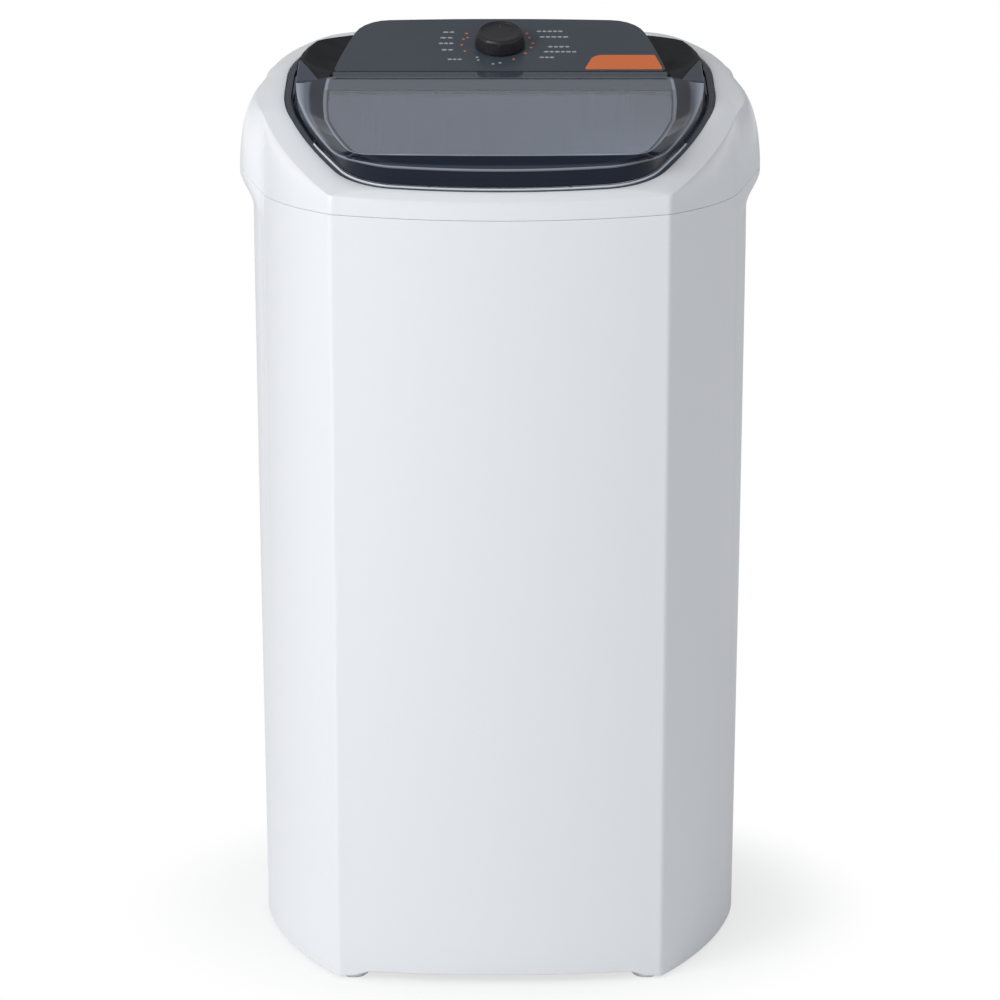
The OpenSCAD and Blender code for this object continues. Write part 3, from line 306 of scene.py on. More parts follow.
def layered(name, colour, pitch):
    """Stacked sheets or wound wire: fine lines across Z, broken up a little."""
    made = Finish(name, metallic=1.0)
    lines = made.node("ShaderNodeTexWave", {"Scale": 1 / pitch / 20, "Distortion": 0.6},
                      wave_type="BANDS", bands_direction="Z")
    made.link(made.place, lines.inputs["Vector"])
    made.link(made.ramp(lines.outputs["Fac"], shade(colour, 0.45), colour, 0.1, 0.6),
              made.skin.inputs["Base Color"])
    made.gloss(0.3, 0.5, 80.0)
    made.relief(lines.outputs["Fac"], pitch * 0.3, 0.8)
    return made.material


def cabinet_white():
    """Glossy white plastic: cool white with a very light orange-peel."""
    made = Finish("cabinet_white", ior=1.46)
    made.colour((0.820, 0.833, 0.856), (0.825, 0.837, 0.859), 14.0, 0.0, 1.0)
    made.gloss(0.275, 0.295, 24.0)
    made.grain(380.0, 0.00005, 0.16)
    made.coat(0.12, 0.22)
    return made.material


REFLECTION_STRIP_START, REFLECTION_STRIP_EDGE, REFLECTION_STRIP_SHARE = -0.064, 0.0004, 0.3


def smoked_clear():
    """Smoked see-through plastic: a clear pane, a dense frame, painted highlights on edges and
    painted reflections.
    """
    made = Finish("smoked_lid", ior=1.49)
    pane = made.node("ShaderNodeAttribute", attribute_name="pane_share").outputs["Fac"]
    # A strip just in front of the hinge is painted less clear and greyer: a painted reflection on
    # the pane's rear.
    along = made.node("ShaderNodeSeparateXYZ")
    made.link(made.place, along.inputs[0])
    reflection_strip = made.span(along.outputs["Y"], 1.0, REFLECTION_STRIP_SHARE, REFLECTION_STRIP_START - REFLECTION_STRIP_EDGE, REFLECTION_STRIP_START)
    clear = math_node(made.tree, "MULTIPLY", reflection_strip, pane)
    made.link(made.span(clear, 0.14, 0.4, 0.0, 1.0), made.skin.inputs["Specular IOR Level"])
    # Edges and side shelves take a lighter colour: painted highlights on rounded edges, painted
    # reflections on the shelves.
    painted_light_mask = made.node("ShaderNodeAttribute", attribute_name="painted_light_share").outputs["Fac"]
    cloud = made.ramp(made.noise(3.0), (0.58, 0.64, 0.76), (0.61, 0.67, 0.79))
    body = made.blend(clear, (0.012, 0.018, 0.034), cloud)
    made.link(made.blend(painted_light_mask, body, (0.44, 0.48, 0.57)), made.skin.inputs["Base Color"])
    made.link(made.span(clear, 0.2, 0.965, 0.0, 1.0), made.skin.inputs["Transmission Weight"])
    made.gloss(0.03, 0.07, 22.0, made.stretched((1, 5, 1)))
    made.grain(30.0, 0.0003, 0.04, 1.0)
    # Light from outside reaches the tub through the pane, a little dimmed.
    rays = made.node("ShaderNodeLightPath")
    dim = made.node("ShaderNodeBsdfTransparent", {"Color": (0.92, 0.94, 0.97, 1)})
    inward = math_node(made.tree, "MAXIMUM", rays.outputs["Is Shadow Ray"],
                       rays.outputs["Is Diffuse Ray"])
    share = math_node(made.tree, "MULTIPLY", inward, clear)
    made.link(mixed(made.tree, share, made.skin.outputs[0], dim.outputs[0]),
              made.tree.nodes["Material Output"].inputs["Surface"])
    return made.material


def make_finishes():
    return {
        "cabinet_white": cabinet_white(),
        "smoked_lid": smoked_clear(),
        "foot_plastic": moulded("foot_plastic", (0.86, 0.87, 0.89), 0.5),
        "tub_plastic": moulded("tub_plastic", (0.79, 0.81, 0.85), 0.36),
        "impeller_plastic": moulded("impeller_plastic", (0.74, 0.76, 0.80), 0.32),
        "trim_navy": moulded("trim_navy", (0.038, 0.047, 0.070), 0.28, spread=0.1),
        "console_black": moulded("console_black", (0.008, 0.009, 0.013), 0.46, 0.0001, 0.15,
                                 0.22, 1400.0),
        "panel_slate": moulded("panel_slate", (0.052, 0.064, 0.082), 0.36, 0.00005, 0.06),
        "accent_orange": moulded("accent_orange", (0.72, 0.17, 0.045), 0.38, spread=0.05),
        "knob_black": moulded("knob_black", (0.022, 0.021, 0.026), 0.33, spread=0.1),
        "timer_plastic": moulded("timer_plastic", (0.60, 0.60, 0.55), 0.45),
        "filter_blue": moulded("filter_blue", (0.07, 0.20, 0.50), 0.38),
        "drain_plastic": moulded("drain_plastic", (0.07, 0.075, 0.085), 0.45),
        "pulley_plastic": moulded("pulley_plastic", (0.025, 0.025, 0.028), 0.48, 0.0001),
        "fan_plastic": moulded("fan_plastic", (0.05, 0.05, 0.055), 0.5),
        "rubber": soft_rubber("rubber"),
        "screw_steel": turned_metal("screw_steel", (0.62, 0.62, 0.60)),
        "shaft_steel": turned_metal("shaft_steel", (0.60, 0.61, 0.63), 0.22),
        "pulley_steel": turned_metal("pulley_steel", (0.52, 0.53, 0.55), 0.34),
        "bush_bronze": turned_metal("bush_bronze", (0.64, 0.40, 0.17), 0.34),
        "bracket_steel": cast_metal("bracket_steel", (0.55, 0.56, 0.57)),
        "cast_metal": cast_metal("cast_metal", (0.50, 0.51, 0.53)),
        "motor_paint": painted("motor_paint", (0.045, 0.05, 0.055)),
        "lamination_steel": layered("lamination_steel", (0.42, 0.42, 0.43), 0.001),
        "winding_copper": layered("winding_copper", (0.62, 0.26, 0.10), 0.0011),
        # A light colour for the bezel's bead: a painted highlight.
        "painted_highlight_bead": moulded("painted_highlight_bead", (0.70, 0.72, 0.76), 0.2),
        "pointer_grey": printed("pointer_grey", (0.055, 0.055, 0.06)),
        "ink_white": printed("ink_white", (0.40, 0.42, 0.45)),
        "ink_orange": printed("ink_orange", (0.56, 0.19, 0.08)),
    }


# ---------------------------------------------------------------- outlines, in millimetres

ARC_STEPS, RUN_STEPS = 10, 22


def rounded_outline(corners, bulges):
    """Points round a polygon of (x, y, radius) corners whose edges bow out by bulges."""
    count = len(corners)
    flat = [Vector(corner[:2]) for corner in corners]

    def bowed(i, point):
        edge = flat[(i + 1) % count] - flat[i]
        t = (point - flat[i]).dot(edge) / edge.length_squared
        return Vector((edge.y, -edge.x)).normalized() * bulges[i] * 4 * t * (1 - t)

    points = []
    for i, corner in enumerate(corners):
        before, after = i - 1, (i + 1) % count
        inward = (flat[i] - flat[before]).normalized()
        outward = (flat[after] - flat[i]).normalized()
        turn = math.atan2(inward.x * outward.y - inward.y * outward.x, inward.dot(outward))
        reach = corner[2] * math.tan(turn / 2)
        start, end = flat[i] - inward * reach, flat[i] + outward * reach
        middle = start + Vector((-inward.y, inward.x)) * corner[2]
        from_angle = math.atan2(start.y - middle.y, start.x - middle.x)
        bow_in, bow_out = bowed(before % count, start), bowed(i, end)
        for k in range(ARC_STEPS + 1):
            u = k / ARC_STEPS
            angle = from_angle + turn * u
            spot = Vector((math.cos(angle), math.sin(angle))) * corner[2]
            points.append(middle + spot + bow_in * (1 - u) + bow_out * u)
        ahead = (flat[(after + 1) % count] - flat[after]).normalized()
        turn_ahead = math.atan2(outward.x * ahead.y - outward.y * ahead.x, outward.dot(ahead))
        stop = flat[after] - outward * corners[after][2] * math.tan(turn_ahead / 2)
        for k in range(1, RUN_STEPS + 1):
            point = end.lerp(stop, k / (RUN_STEPS + 1))
            points.append(point + bowed(i, point))
    return points


def mirrored_outline(half, bows):
    """An outline from its right-hand corners, front first, and the bows of their edges."""
    left = [(-x, y, radius) for x, y, radius in half]
    return rounded_outline([left[0], *half, *left[:0:-1]], [*bows, *bows[-2:0:-1]])


def inset(outline, distance):
    count = len(outline)
    moved = []
    for i, point in enumerate(outline):
        along = (outline[(i + 1) % count] - outline[i - 1]).normalized()
        moved.append(point + Vector((-along.y, along.x)) * distance)
    return moved


def between(first, second, t):
    return [a.lerp(b, t) for a, b in zip(first, second)]


def lifted(outline, height):
    """The outline in space; height is a number or a function of the point."""
    rise = height if callable(height) else lambda point: height
    return [Vector((p.x, p.y, rise(p))) for p in outline]


def stacked(outline, heights, lift):
    return [Vector((p.x, p.y, z + lift)) for p, z in zip(outline, heights)]


def rim_rows(*rows):
    """Profile rows from the rim's outline, each an inset, a lift above the rim and a radius."""
    return [(on_rim(inset(RIM, depth), lift), radius) for depth, lift, radius in rows]


def seam_rows(*rows):
    """Sharp profile rows that follow the seam, each an outline, an inset and a lift."""
    return [(stacked(inset(ring, depth), SEAM_HEIGHTS, lift), 0) for ring, depth, lift in rows]


def clamp(value):
    return max(0.0, min(1.0, value))


RIM_Z, RIM_SLOPE = 931.5, 0.3
PANE_FRONT, PANE_Z, PANE_SLOPE = -252, 886, 0.263


def rim_at(y):
    return RIM_Z + RIM_SLOPE * y


def window_at(y):
    return PANE_Z + PANE_SLOPE * (y - PANE_FRONT)


def on_rim(outline, lift):
    return lifted(outline, lambda p: rim_at(p.y) + lift)


SEAM_GAP, WALL, GRIP_DROP = 0.15, 3.0, 40.0
FRONT_Y, SIDE_X, SIDE_Y = 282, 257.5, 81
FRONT_BOW, CORNER_BOW = 18, 10
FOOT_W, MID_W, SEAM_W = 348, 350, 352
MID_Z, HIGH_Z = 400, 760
SEAM_Z, SEAM_DIP, SEAM_RISE = 823, 5, 22
HIGH_BOW, GRIP_BOW = 15.5, 15


def cabinet_outline(width, side_bow):
    half = [(width / 2, -FRONT_Y, 7), (SIDE_X, -SIDE_Y, 9), (SIDE_X, SIDE_Y, 9),
            (width / 2, FRONT_Y, 7)]
    return mirrored_outline(half, (FRONT_BOW, CORNER_BOW, side_bow, CORNER_BOW, FRONT_BOW))


def seam_height(point):
    dip = SEAM_DIP * max(0, 1 - (2 * point.x / SEAM_W) ** 2) if point.y < 0 else 0
    return SEAM_Z + SEAM_RISE * clamp((abs(point.x) - SIDE_X) / 25) - dip


def floor_height(point):
    return 3 + 7 * clamp((162 - abs(point.x)) / 22) * clamp((abs(point.y) - 262) / 16)


def grip_outline(t):
    """The cabinet's outline in the grip, from its root at 0 to the seam at 1."""
    return cabinet_outline(SEAM_W, HIGH_BOW + GRIP_BOW * (3 - 2 * t) * t * t)


SEAM = cabinet_outline(SEAM_W, HIGH_BOW + GRIP_BOW)
SEAM_HEIGHTS = [seam_height(p) for p in SEAM]
LOW = cabinet_outline(FOOT_W, 9)
LOW_HEIGHTS = [floor_height(p) for p in LOW]
MID = cabinet_outline(MID_W, 13)
HIGH = cabinet_outline(SEAM_W, HIGH_BOW)
CREST = mirrored_outline([(177, -279, 8), (258, -50, 40), (258, 68, 60), (188, 188, 50)],
                         (18, 8, 8, 14, 8))
RIM = mirrored_outline([(152, -268, 70), (235, -45, 260), (235, 85, 150), (168, 172, 55)],
                       (16, 9, 2, 6, 10))


# ---------------------------------------------------------------- meshes

def softened(profile, steps=3):
    """Rings of a profile of (ring, radius); a radius above 0 rounds the profile there."""
    rings = []
    count = len(profile)
    for k, (ring, radius) in enumerate(profile):
        if not radius:
            rings.append(ring)
            continue
        before, after = profile[k - 1][0], profile[(k + 1) % count][0]
        for step in range(steps + 1):
            u = step / steps
            made = []
            for a, p, b in zip(before, ring, after):
                start = p + (a - p) * min(0.5, radius / max(1e-6, (a - p).length))
                end = p + (b - p) * min(0.5, radius / max(1e-6, (b - p).length))
                made.append(start * (1 - u) ** 2 + p * 2 * u * (1 - u) + end * u * u)
            rings.append(made)
    return rings


def skinned(rings, closed=False):
    """Vertices in metres and faces over rings; a skin that isn't closed gets two lids."""
    count, last = len(rings[0]), len(rings)
    points = [p * MM for ring in rings for p in ring]
    faces = []
    for k in range(last if closed else last - 1):
        low, high = k * count, (k + 1) % last * count
        for i in range(count):
            j = (i + 1) % count
            faces.append((low + i, low + j, high + j, high + i))
    if not closed:
        faces.append(tuple(reversed(range(count))))
        faces.append(tuple(range((last - 1) * count, last * count)))
    return points, faces


def piece(name, points, faces, finish, sharp=30.0):
    """A mesh object with outward normals, smooth up to the sharp angle."""
    mesh = bpy.data.meshes.new(name)
    mesh.from_pydata([tuple(p) for p in points], [], faces)
    work = bmesh.new()
    work.from_mesh(mesh)
    bmesh.ops.remove_doubles(work, verts=work.verts, dist=1e-7)
    bmesh.ops.recalc_face_normals(work, faces=work.faces)
    work.to_mesh(mesh)
    work.free()
    mesh.materials.append(FINISHES[finish])
    mesh.shade_smooth()
    mesh.set_sharp_from_angle(angle=math.radians(sharp))
    made = bpy.data.objects.new(name, mesh)
    scene.collection.objects.link(made)
    return made


def full_turn(steps):
    return [2 * math.pi * k / steps for k in range(steps)]


def baked(made):
    """Gives the object its evaluated mesh, with no modifier left."""
    bpy.context.view_layer.update()
    graph = bpy.context.evaluated_depsgraph_get()
    mesh = bpy.data.meshes.new_from_object(made.evaluated_get(graph))
    made.modifiers.clear()
    made.data = mesh


def cut_away(made, cutter):
    """Takes the cutter's shape out of the piece, then removes the cutter."""
    cut = made.modifiers.new("cut", "BOOLEAN")
    cut.operation = "DIFFERENCE"
    cut.solver = "EXACT"
    cut.object = cutter
    baked(made)
    bpy.data.objects.remove(cutter)


def settle(made, body, slot, *replaced):
    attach(made, body)
    if replaced:
        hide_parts(*replaced)


def dressed(node, edge):
    """A merged copy of a CAD node with its sharp edges rounded by edge millimetres."""
    slot = SLOT_OF[node]
    mesh = nodes[node].data.copy()
    work = bmesh.new()
    work.from_mesh(mesh)
    bmesh.ops.remove_doubles(work, verts=work.verts, dist=1e-6)
    bmesh.ops.dissolve_limit(work, angle_limit=math.radians(0.5), verts=work.verts,
                             edges=work.edges)
    work.to_mesh(mesh)
    work.free()
    mesh.materials.clear()
    mesh.materials.append(FINISHES[slot])
    for polygon in mesh.polygons:
        polygon.material_index = 0
    made = bpy.data.objects.new(node + "_finished", mesh)
    scene.collection.objects.link(made)
    bevel = made.modifiers.new("edge", "BEVEL")
    bevel.width = edge * MM
    bevel.segments = 2
    bevel.limit_method = "ANGLE"
    bevel.angle_limit = math.radians(30)
    even = made.modifiers.new("even", "WEIGHTED_NORMAL")
    even.keep_sharp = True
    made.data.shade_smooth()
    made.data.set_sharp_from_angle(angle=math.radians(60))
    baked(made)
    settle(made, BODY_OF[node], slot, node)


# ---------------------------------------------------------------- cabinet and cover

def cabinet_shell():
    """The one-piece cabinet: outer skin, rounded foot edge, grips, seam edge and inner wall."""
    def grip(t, depth):
        return stacked(inset(grip_outline(t), depth), SEAM_HEIGHTS, -GRIP_DROP * (1 - t) - 1)

    grips = [k / 12 for k in range(13)]
    profile = [(stacked(LOW, LOW_HEIGHTS, 0), 1.6)]
    profile += [(lifted(between(LOW, MID, t), MID_Z * t), 0) for t in (0.12, 0.35, 0.6, 0.8)]
    profile += [(lifted(MID, MID_Z), 0)]
    profile += [(lifted(between(MID, HIGH, t), MID_Z + (HIGH_Z - MID_Z) * t), 0)
                for t in (0.25, 0.5, 0.75, 1)]
    profile += [(grip(t, 0), 0) for t in grips[:-1]]
    profile += seam_rows((SEAM, 0, -1), (SEAM, 0.1, -0.4), (SEAM, 0.4, -SEAM_GAP),
                         (SEAM, WALL, -SEAM_GAP))
    profile += [(grip(t, WALL), 0) for t in reversed(grips[:-1:2])]
    profile += [(lifted(inset(ring, depth), z), 0) for ring, depth, z in (
        (HIGH, WALL, 776), (HIGH, 9, 776), (HIGH, 9, 772), (HIGH, WALL, 762),
        (MID, WALL, MID_Z), (LOW, WALL, 34.3), (LOW, 15, 26.3), (LOW, 15, 18.3),
        (LOW, WALL, 18.3))]
    profile += [(stacked(inset(LOW, WALL), LOW_HEIGHTS, 0), 0)]
    shell = piece("cabinet_shell", *skinned(softened(profile), True), "cabinet_white")
    for x, z, radius in ((-50, 72, 17.3), (60, 150, 9.3)):
        cut_round(shell, (x, 290, z), radius)
    settle(shell, "cabinet", "cabinet_white", "body_shell")


def cut_round(shell, centre, radius):
    """Bores a round hole along Y through the shell's rear wall."""
    x, y, z = centre
    rings = [[Vector((x + radius * math.cos(a), y + side, z + radius * math.sin(a)))
              for a in full_turn(64)] for side in (-25, 25)]
    cut_away(shell, piece("cutter", *skinned(rings), "cabinet_white"))
    shell.data.set_sharp_from_angle(angle=math.radians(30))


WALL_END = math.radians(88)


def cover_wall(t, depth, drop):
    """The cover's shoulder, which curves over from the seam to the crest."""
    inward = (1 - math.cos(WALL_END * t)) / (1 - math.cos(WALL_END))
    upward = math.sin(WALL_END * t) / math.sin(WALL_END)
    shift = depth * math.cos(WALL_END * t)
    low, high = inset(SEAM, shift), inset(CREST, shift)
    ring = []
    for i, (a, b) in enumerate(zip(low, high)):
        p = a.lerp(b, inward)
        base = SEAM_HEIGHTS[i] + 1
        top = rim_at(CREST[i].y) - 5
        z = base + (top - base) * upward - drop * math.sin(WALL_END * t)
        ring.append(Vector((p.x, p.y, z)))
    return ring


def top_cover():
    """The cover over the cabinet, from its hidden skirt over the shoulder to the opening."""
    skirt = grip_outline(1 - 13 / GRIP_DROP)
    steps = 30
    profile = seam_rows((skirt, WALL + 0.6, -12), (SEAM, WALL + 0.6, SEAM_GAP),
                        (SEAM, 0.4, SEAM_GAP), (SEAM, 0.1, 0.4))
    profile += [(cover_wall(k / steps, 0, 0), 0) for k in range(steps - 3)]
    profile += [(cover_wall(1, 0, 0), 9),
                (on_rim(between(CREST, RIM, 0.5), -1.35), 4),
                (on_rim(between(CREST, RIM, 0.75), -0.2), 0)]
    profile += rim_rows((-1.6, 0.15, 0), (-0.6, 0.0, 0), (0, -0.9, 0), (0, -10, 0),
                        (8, -10, 0), (8, -13, 0), (-WALL, -13, 0), (-WALL, -4, 0))
    profile += [(cover_wall(k / 10, WALL, WALL), 0) for k in range(10, 0, -1)]
    profile += seam_rows((SEAM, 2 * WALL, 4), (skirt, 2 * WALL, -12))
    cover = piece("cover_shell", *skinned(softened(profile), True), "cabinet_white")
    settle(cover, "cabinet", "cabinet_white", "top_cover")


def opening_bezel():
    """The dark ring in the opening, with a rounded lip beside the white cover."""
    profile = rim_rows((0.4, -9.7, 0), (0.4, -1.0, 0.9), (7.6, -1.0, 0.9), (7.6, -6, 0.6),
                       (22, -6, 0.6), (22, -9.7, 0))
    ring = piece("bezel_ring", *skinned(softened(profile), True), "trim_navy")
    settle(ring, "cabinet", "trim_navy", "opening_bezel")


# ---------------------------------------------------------------- lid

LID_REAR, LID_WALL = -22.0, 2.6
HINGE_Y, HINGE_Z = -6.0, 943.5
LID_FOOT = mirrored_outline([(146.4, -259.6, 61), (222.6, -54, 185), (226, LID_REAR, 3)],
                            (15.8, 8.3, 0, 0))
LID_STEP = mirrored_outline([(145.4, -257.8, 59), (220.6, -54, 183), (224, LID_REAR, 3)],
                            (15.6, 8.1, 0, 0))
LID_PANE = mirrored_outline([(152.8, -260.5, 20), (184, -160, 60), (187.5, LID_REAR, 3)],
                            (3.5, 2.5, 3, 0))


def ease(value):
    return clamp(value) ** 2 * (3 - 2 * clamp(value))


def skirt_at(y):
    """The skirt's height above the rim: tall in front, low at the corners, tall at the hinge."""
    return 8 + 11 * ease((-190 - y) / 72) + 8 * ease((y + 110) / 80)


def lid_edge(depth, drop):
    return lifted(inset(LID_STEP, depth), lambda p: rim_at(p.y) + skirt_at(p.y) - drop)


def lid_shelf(depth, drop, reach=1.0):
    """The crease behind the shelf that widens from the front corners along the sides."""
    crease = [a.lerp(b, reach * (0.08 + 0.27 * ease((a.y + 255) / 60)))
              for a, b in zip(LID_STEP, LID_PANE)]
    return lifted(inset(crease, depth),
                  lambda p: rim_at(p.y) + skirt_at(p.y) + 1.2 * reach - drop)


def lid_pane(depth, drop):
    return lifted(inset(LID_PANE, depth), lambda p: window_at(p.y) - drop)


def lid_shell():
    """The smoked lid: bead, skirt, shelf, steep band and flat pane, hollow below."""
    crease, band_top = lid_shelf(0, 0), lid_pane(0, 0.1)
    under_pane, under_shelf = lid_pane(4, LID_WALL), lid_shelf(1.6, 2.3)
    # Each row: ring, rounding, how clear it is, its painted highlight line, its painted
    # reflection on the shelf.
    profile = [(lid_pane(10, LID_WALL), 0, 1, 0, 0), (under_pane, 1.0, 1, 0, 0),
               (between(under_pane, under_shelf, 0.2), 0, 0, 0, 0),
               (under_shelf, 1.2, 0, 0, 0), (lid_edge(LID_WALL, LID_WALL), 1.0, 0, 0, 0),
               (on_rim(inset(LID_FOOT, LID_WALL), 1.2), 0.4, 0, 0, 0),
               (on_rim(LID_FOOT, 1.2), 0.5, 0, 0, 0),
               (on_rim(inset(LID_FOOT, -0.3), 2.4), 0.5, 0, 0, 0),
               (lid_edge(-0.3, 2.6), 0, 0, 0, 0), (lid_edge(0, 0), 0.9, 0, 0.7, 0.9),
               (lid_shelf(0, 0, 0.22), 0, 0, 0, 0.9), (crease, 1.6, 0, 0, 0.35),
               (between(crease, band_top, 0.25), 0, 0, 0, 0.02),
               (between(crease, band_top, 0.9), 0, 0, 0, 0.02), (band_top, 0.9, 0.5, 1, 0),
               (lid_pane(2.4, 0), 0, 1, 0, 0), (lid_pane(9, 0), 0, 1, 0, 0)]
    steps = 5
    points, faces = skinned(softened([part[:2] for part in profile], steps))
    lid = piece("lid_shell", points, faces, "smoked_lid", 50)
    tags = [part[2:] for part in profile for _ in range(steps + 1 if part[1] else 1)]
    tree = kdtree.KDTree(len(points))
    for k, point in enumerate(points):
        tree.insert(point, k)
    tree.balance()
    found = [tags[tree.find(v.co)[1] // len(LID_STEP)] for v in lid.data.vertices]
    # Painted highlights on the lines and painted reflections on the shelves, stronger along the
    # sides, none at the rear.
    painted_light_amount = []
    for (_, line, shelf), vertex in zip(found, lid.data.vertices):
        y = vertex.co.y / MM
        before_rear = y < LID_REAR - 4
        painted_light_amount.append(before_rear * max(line, shelf * (0.25 + 0.75 * ease((y + 245) / 60))))
    share_tone(lid, [tag[0] for tag in found], painted_light_amount)
    settle(lid, "lid", "smoked_lid", "lid")


def share_tone(made, pane, edge):
    """Notes for each vertex how clear the smoke is and how much painted highlight and reflection
    it carries.
    """
    for label, values in (("pane_share", pane), ("painted_light_share", edge)):
        attribute = made.data.attributes.new(label, "FLOAT", "POINT")
        attribute.data.foreach_set("value", [float(value) for value in values])


def lid_hinge():
    """The lid's rear tongue and the round bar that turns on two pins."""
    half, thick = 184, 6
    bar = [(thick * math.cos(a), thick * math.sin(a))
           for a in (math.radians(9 * k) for k in range(40))]
    end = [(-half - 12, 2.3), (-half - 11.6, 2.5), (-half, 2.5), (-half, 5.6),
           (-half + 0.4, thick)]
    stations = end + [(-x, radius) for x, radius in reversed(end)]
    rings = [[Vector((x, HINGE_Y + r / thick * y, HINGE_Z + r / thick * z)) for y, z in bar]
             for x, r in stations]
    turning = piece("lid_hinge_bar", *skinned(rings), "smoked_lid", 40)
    y0, y1 = LID_REAR - 1.0, HINGE_Y
    rows = [(y0, window_at(y0) - 0.02), (y1, window_at(y1) - 0.02),
            (y1, window_at(y1) - 3), (y0, window_at(y0) - 2.6)]
    loops = [[Vector((x, y, z)) for y, z in rows] for x in (-half + 0.5, half - 0.5)]
    tongue = piece("lid_tongue", *skinned(loops), "smoked_lid", 40)
    # The tongue is as clear as the pane's painted reflection strip; the bar is dense smoke.
    for made, clear in ((turning, 0), (tongue, 0.3)):
        count = len(made.data.vertices)
        share_tone(made, [clear] * count, [0] * count)
        settle(made, "lid", "smoked_lid", "lid")


# ---------------------------------------------------------------- control panel

PANEL_PLACE, PANEL_TILT = (0, 6.29, 948.29), 25.5
PANEL_FRAME = (Matrix.Translation(PANEL_PLACE)
               @ Matrix.Rotation(math.radians(PANEL_TILT), 4, "X"))
PANEL_TOP = 3.0
KNOB_FOOT = PANEL_TOP + 0.8
KNOB_Y = 59.0


def on_panel(x, y, z):
    """A point of the panel's own plane, in the machine's millimetres."""
    return PANEL_FRAME @ Vector((x, y, z))


def timer_knob():
    """The dial knob: ten soft flats, a light chamfer and a dished face with a pointer."""
    profile = [(5, 0.0, 0), (27.6, 0.0, 0), (28.0, 0.8, 0), (28.0, 3.6, 0), (27.4, 8, 1),
               (27.0, 13.2, 1), (26.4, 14.8, 0.8), (25.2, 16.1, 0.5), (23.8, 16.9, 0.2),
               (22.6, 17.0, 0), (21.9, 16.7, 0), (21.0, 15.4, 0), (20.0, 14.9, 0),
               (12, 15.0, 0), (4, 15.05, 0)]
    half_flat = math.radians(18)
    rings = []
    for radius, height, flat in profile:
        ring = []
        for angle in full_turn(200):
            off = (angle - half_flat) % math.radians(36) - half_flat
            reach = radius * (1 - flat * (1 - math.cos(half_flat) / math.cos(off)) * 0.55)
            ring.append(on_panel(reach * math.cos(angle), KNOB_Y + reach * math.sin(angle),
                                 KNOB_FOOT + height))
        rings.append(ring)
    knob = piece("dial_knob", *skinned(rings), "knob_black", 35)
    settle(knob, "timer_dial", "knob_black", "timer_knob")
    loop = [(-0.7, 9), (0.7, 9), (0.7, 18.6), (-0.7, 18.6)]
    rings = [[on_panel(x, KNOB_Y + y, KNOB_FOOT + z) for x, y in loop]
             for z in (14.6, 15.35)]
    pointer = piece("dial_pointer", *skinned(rings), "pointer_grey")
    settle(pointer, "timer_dial", "knob_black")


def bar_mark():
    """A round printed dot a millimetre wide about the origin, in the panel's plane."""
    outline = [Vector((0.5 * math.cos(a), 0.5 * math.sin(a), 0))
               for a in (math.radians(start + 30 * k) for start in (-90, 90) for k in range(7))]
    high = [p + Vector((0, 0, 0.12)) for p in outline]
    return piece("mark_pattern", *skinned([outline, high]), "ink_white")


# ---------------------------------------------------------------- repeated pieces

def new_tree(name, **inputs):
    """A Geometry Nodes tree with named inputs; returns it and its input and output nodes."""
    tree = bpy.data.node_groups.new(name, "GeometryNodeTree")
    tree.interface.new_socket("Geometry", in_out="INPUT", socket_type="NodeSocketGeometry")
    for label, kind in inputs.items():
        tree.interface.new_socket(label, in_out="INPUT", socket_type="NodeSocket" + kind)
    tree.interface.new_socket("Geometry", in_out="OUTPUT", socket_type="NodeSocketGeometry")
    return tree, add_node(tree, "NodeGroupInput"), add_node(tree, "NodeGroupOutput")


def closing(tree, geometry, material, output):
    """Ends a tree in Realize Instances and Set Material."""
    real = add_node(tree, "GeometryNodeRealizeInstances")
    paint = add_node(tree, "GeometryNodeSetMaterial")
    tree.links.new(geometry, real.inputs["Geometry"])
    tree.links.new(real.outputs["Geometry"], paint.inputs["Geometry"])
    tree.links.new(material, paint.inputs["Material"])
    tree.links.new(paint.outputs["Geometry"], output.inputs["Geometry"])


def copied(tree, given, output, points, turn, size=None):
    """Puts the given piece on the points, turned and sized, and ends the tree."""
    info = add_node(tree, "GeometryNodeObjectInfo")
    copies = add_node(tree, "GeometryNodeInstanceOnPoints")
    tree.links.new(given.outputs["Piece"], info.inputs["Object"])
    tree.links.new(points, copies.inputs["Points"])
    tree.links.new(info.outputs["Geometry"], copies.inputs["Instance"])
    tree.links.new(turn, copies.inputs["Rotation"])
    if size:
        tree.links.new(size, copies.inputs["Scale"])
    closing(tree, copies.outputs[0], given.outputs["Finish"], output)


def round_tree():
    """Copies of one piece, turned evenly round the Z axis from a start angle."""
    tree, given, output = new_tree("copies_round_axis", Piece="Object", Count="Int",
                                   Start="Float", Step="Float", Finish="Material")
    spots = add_node(tree, "GeometryNodePoints")
    index = add_node(tree, "GeometryNodeInputIndex").outputs[0]
    angle = math_node(tree, "ADD", math_node(tree, "MULTIPLY", index, given.outputs["Step"]),
                      given.outputs["Start"])
    tree.links.new(given.outputs["Count"], spots.inputs["Count"])
    turn = add_node(tree, "ShaderNodeCombineXYZ")
    tree.links.new(angle, turn.inputs["Z"])
    copied(tree, given, output, spots.outputs[0], turn.outputs[0])
    return tree


def spot_tree():
    """Copies of one piece on each vertex, by its "turn" and "stretch" attributes."""
    tree, given, output = new_tree("copies_at_spots", Piece="Object", Finish="Material")
    turn, stretch = (add_node(tree, "GeometryNodeInputNamedAttribute", {"Name": label},
                              data_type="FLOAT_VECTOR").outputs[0]
                     for label in ("turn", "stretch"))
    copied(tree, given, output, given.outputs["Geometry"], turn, stretch)
    return tree


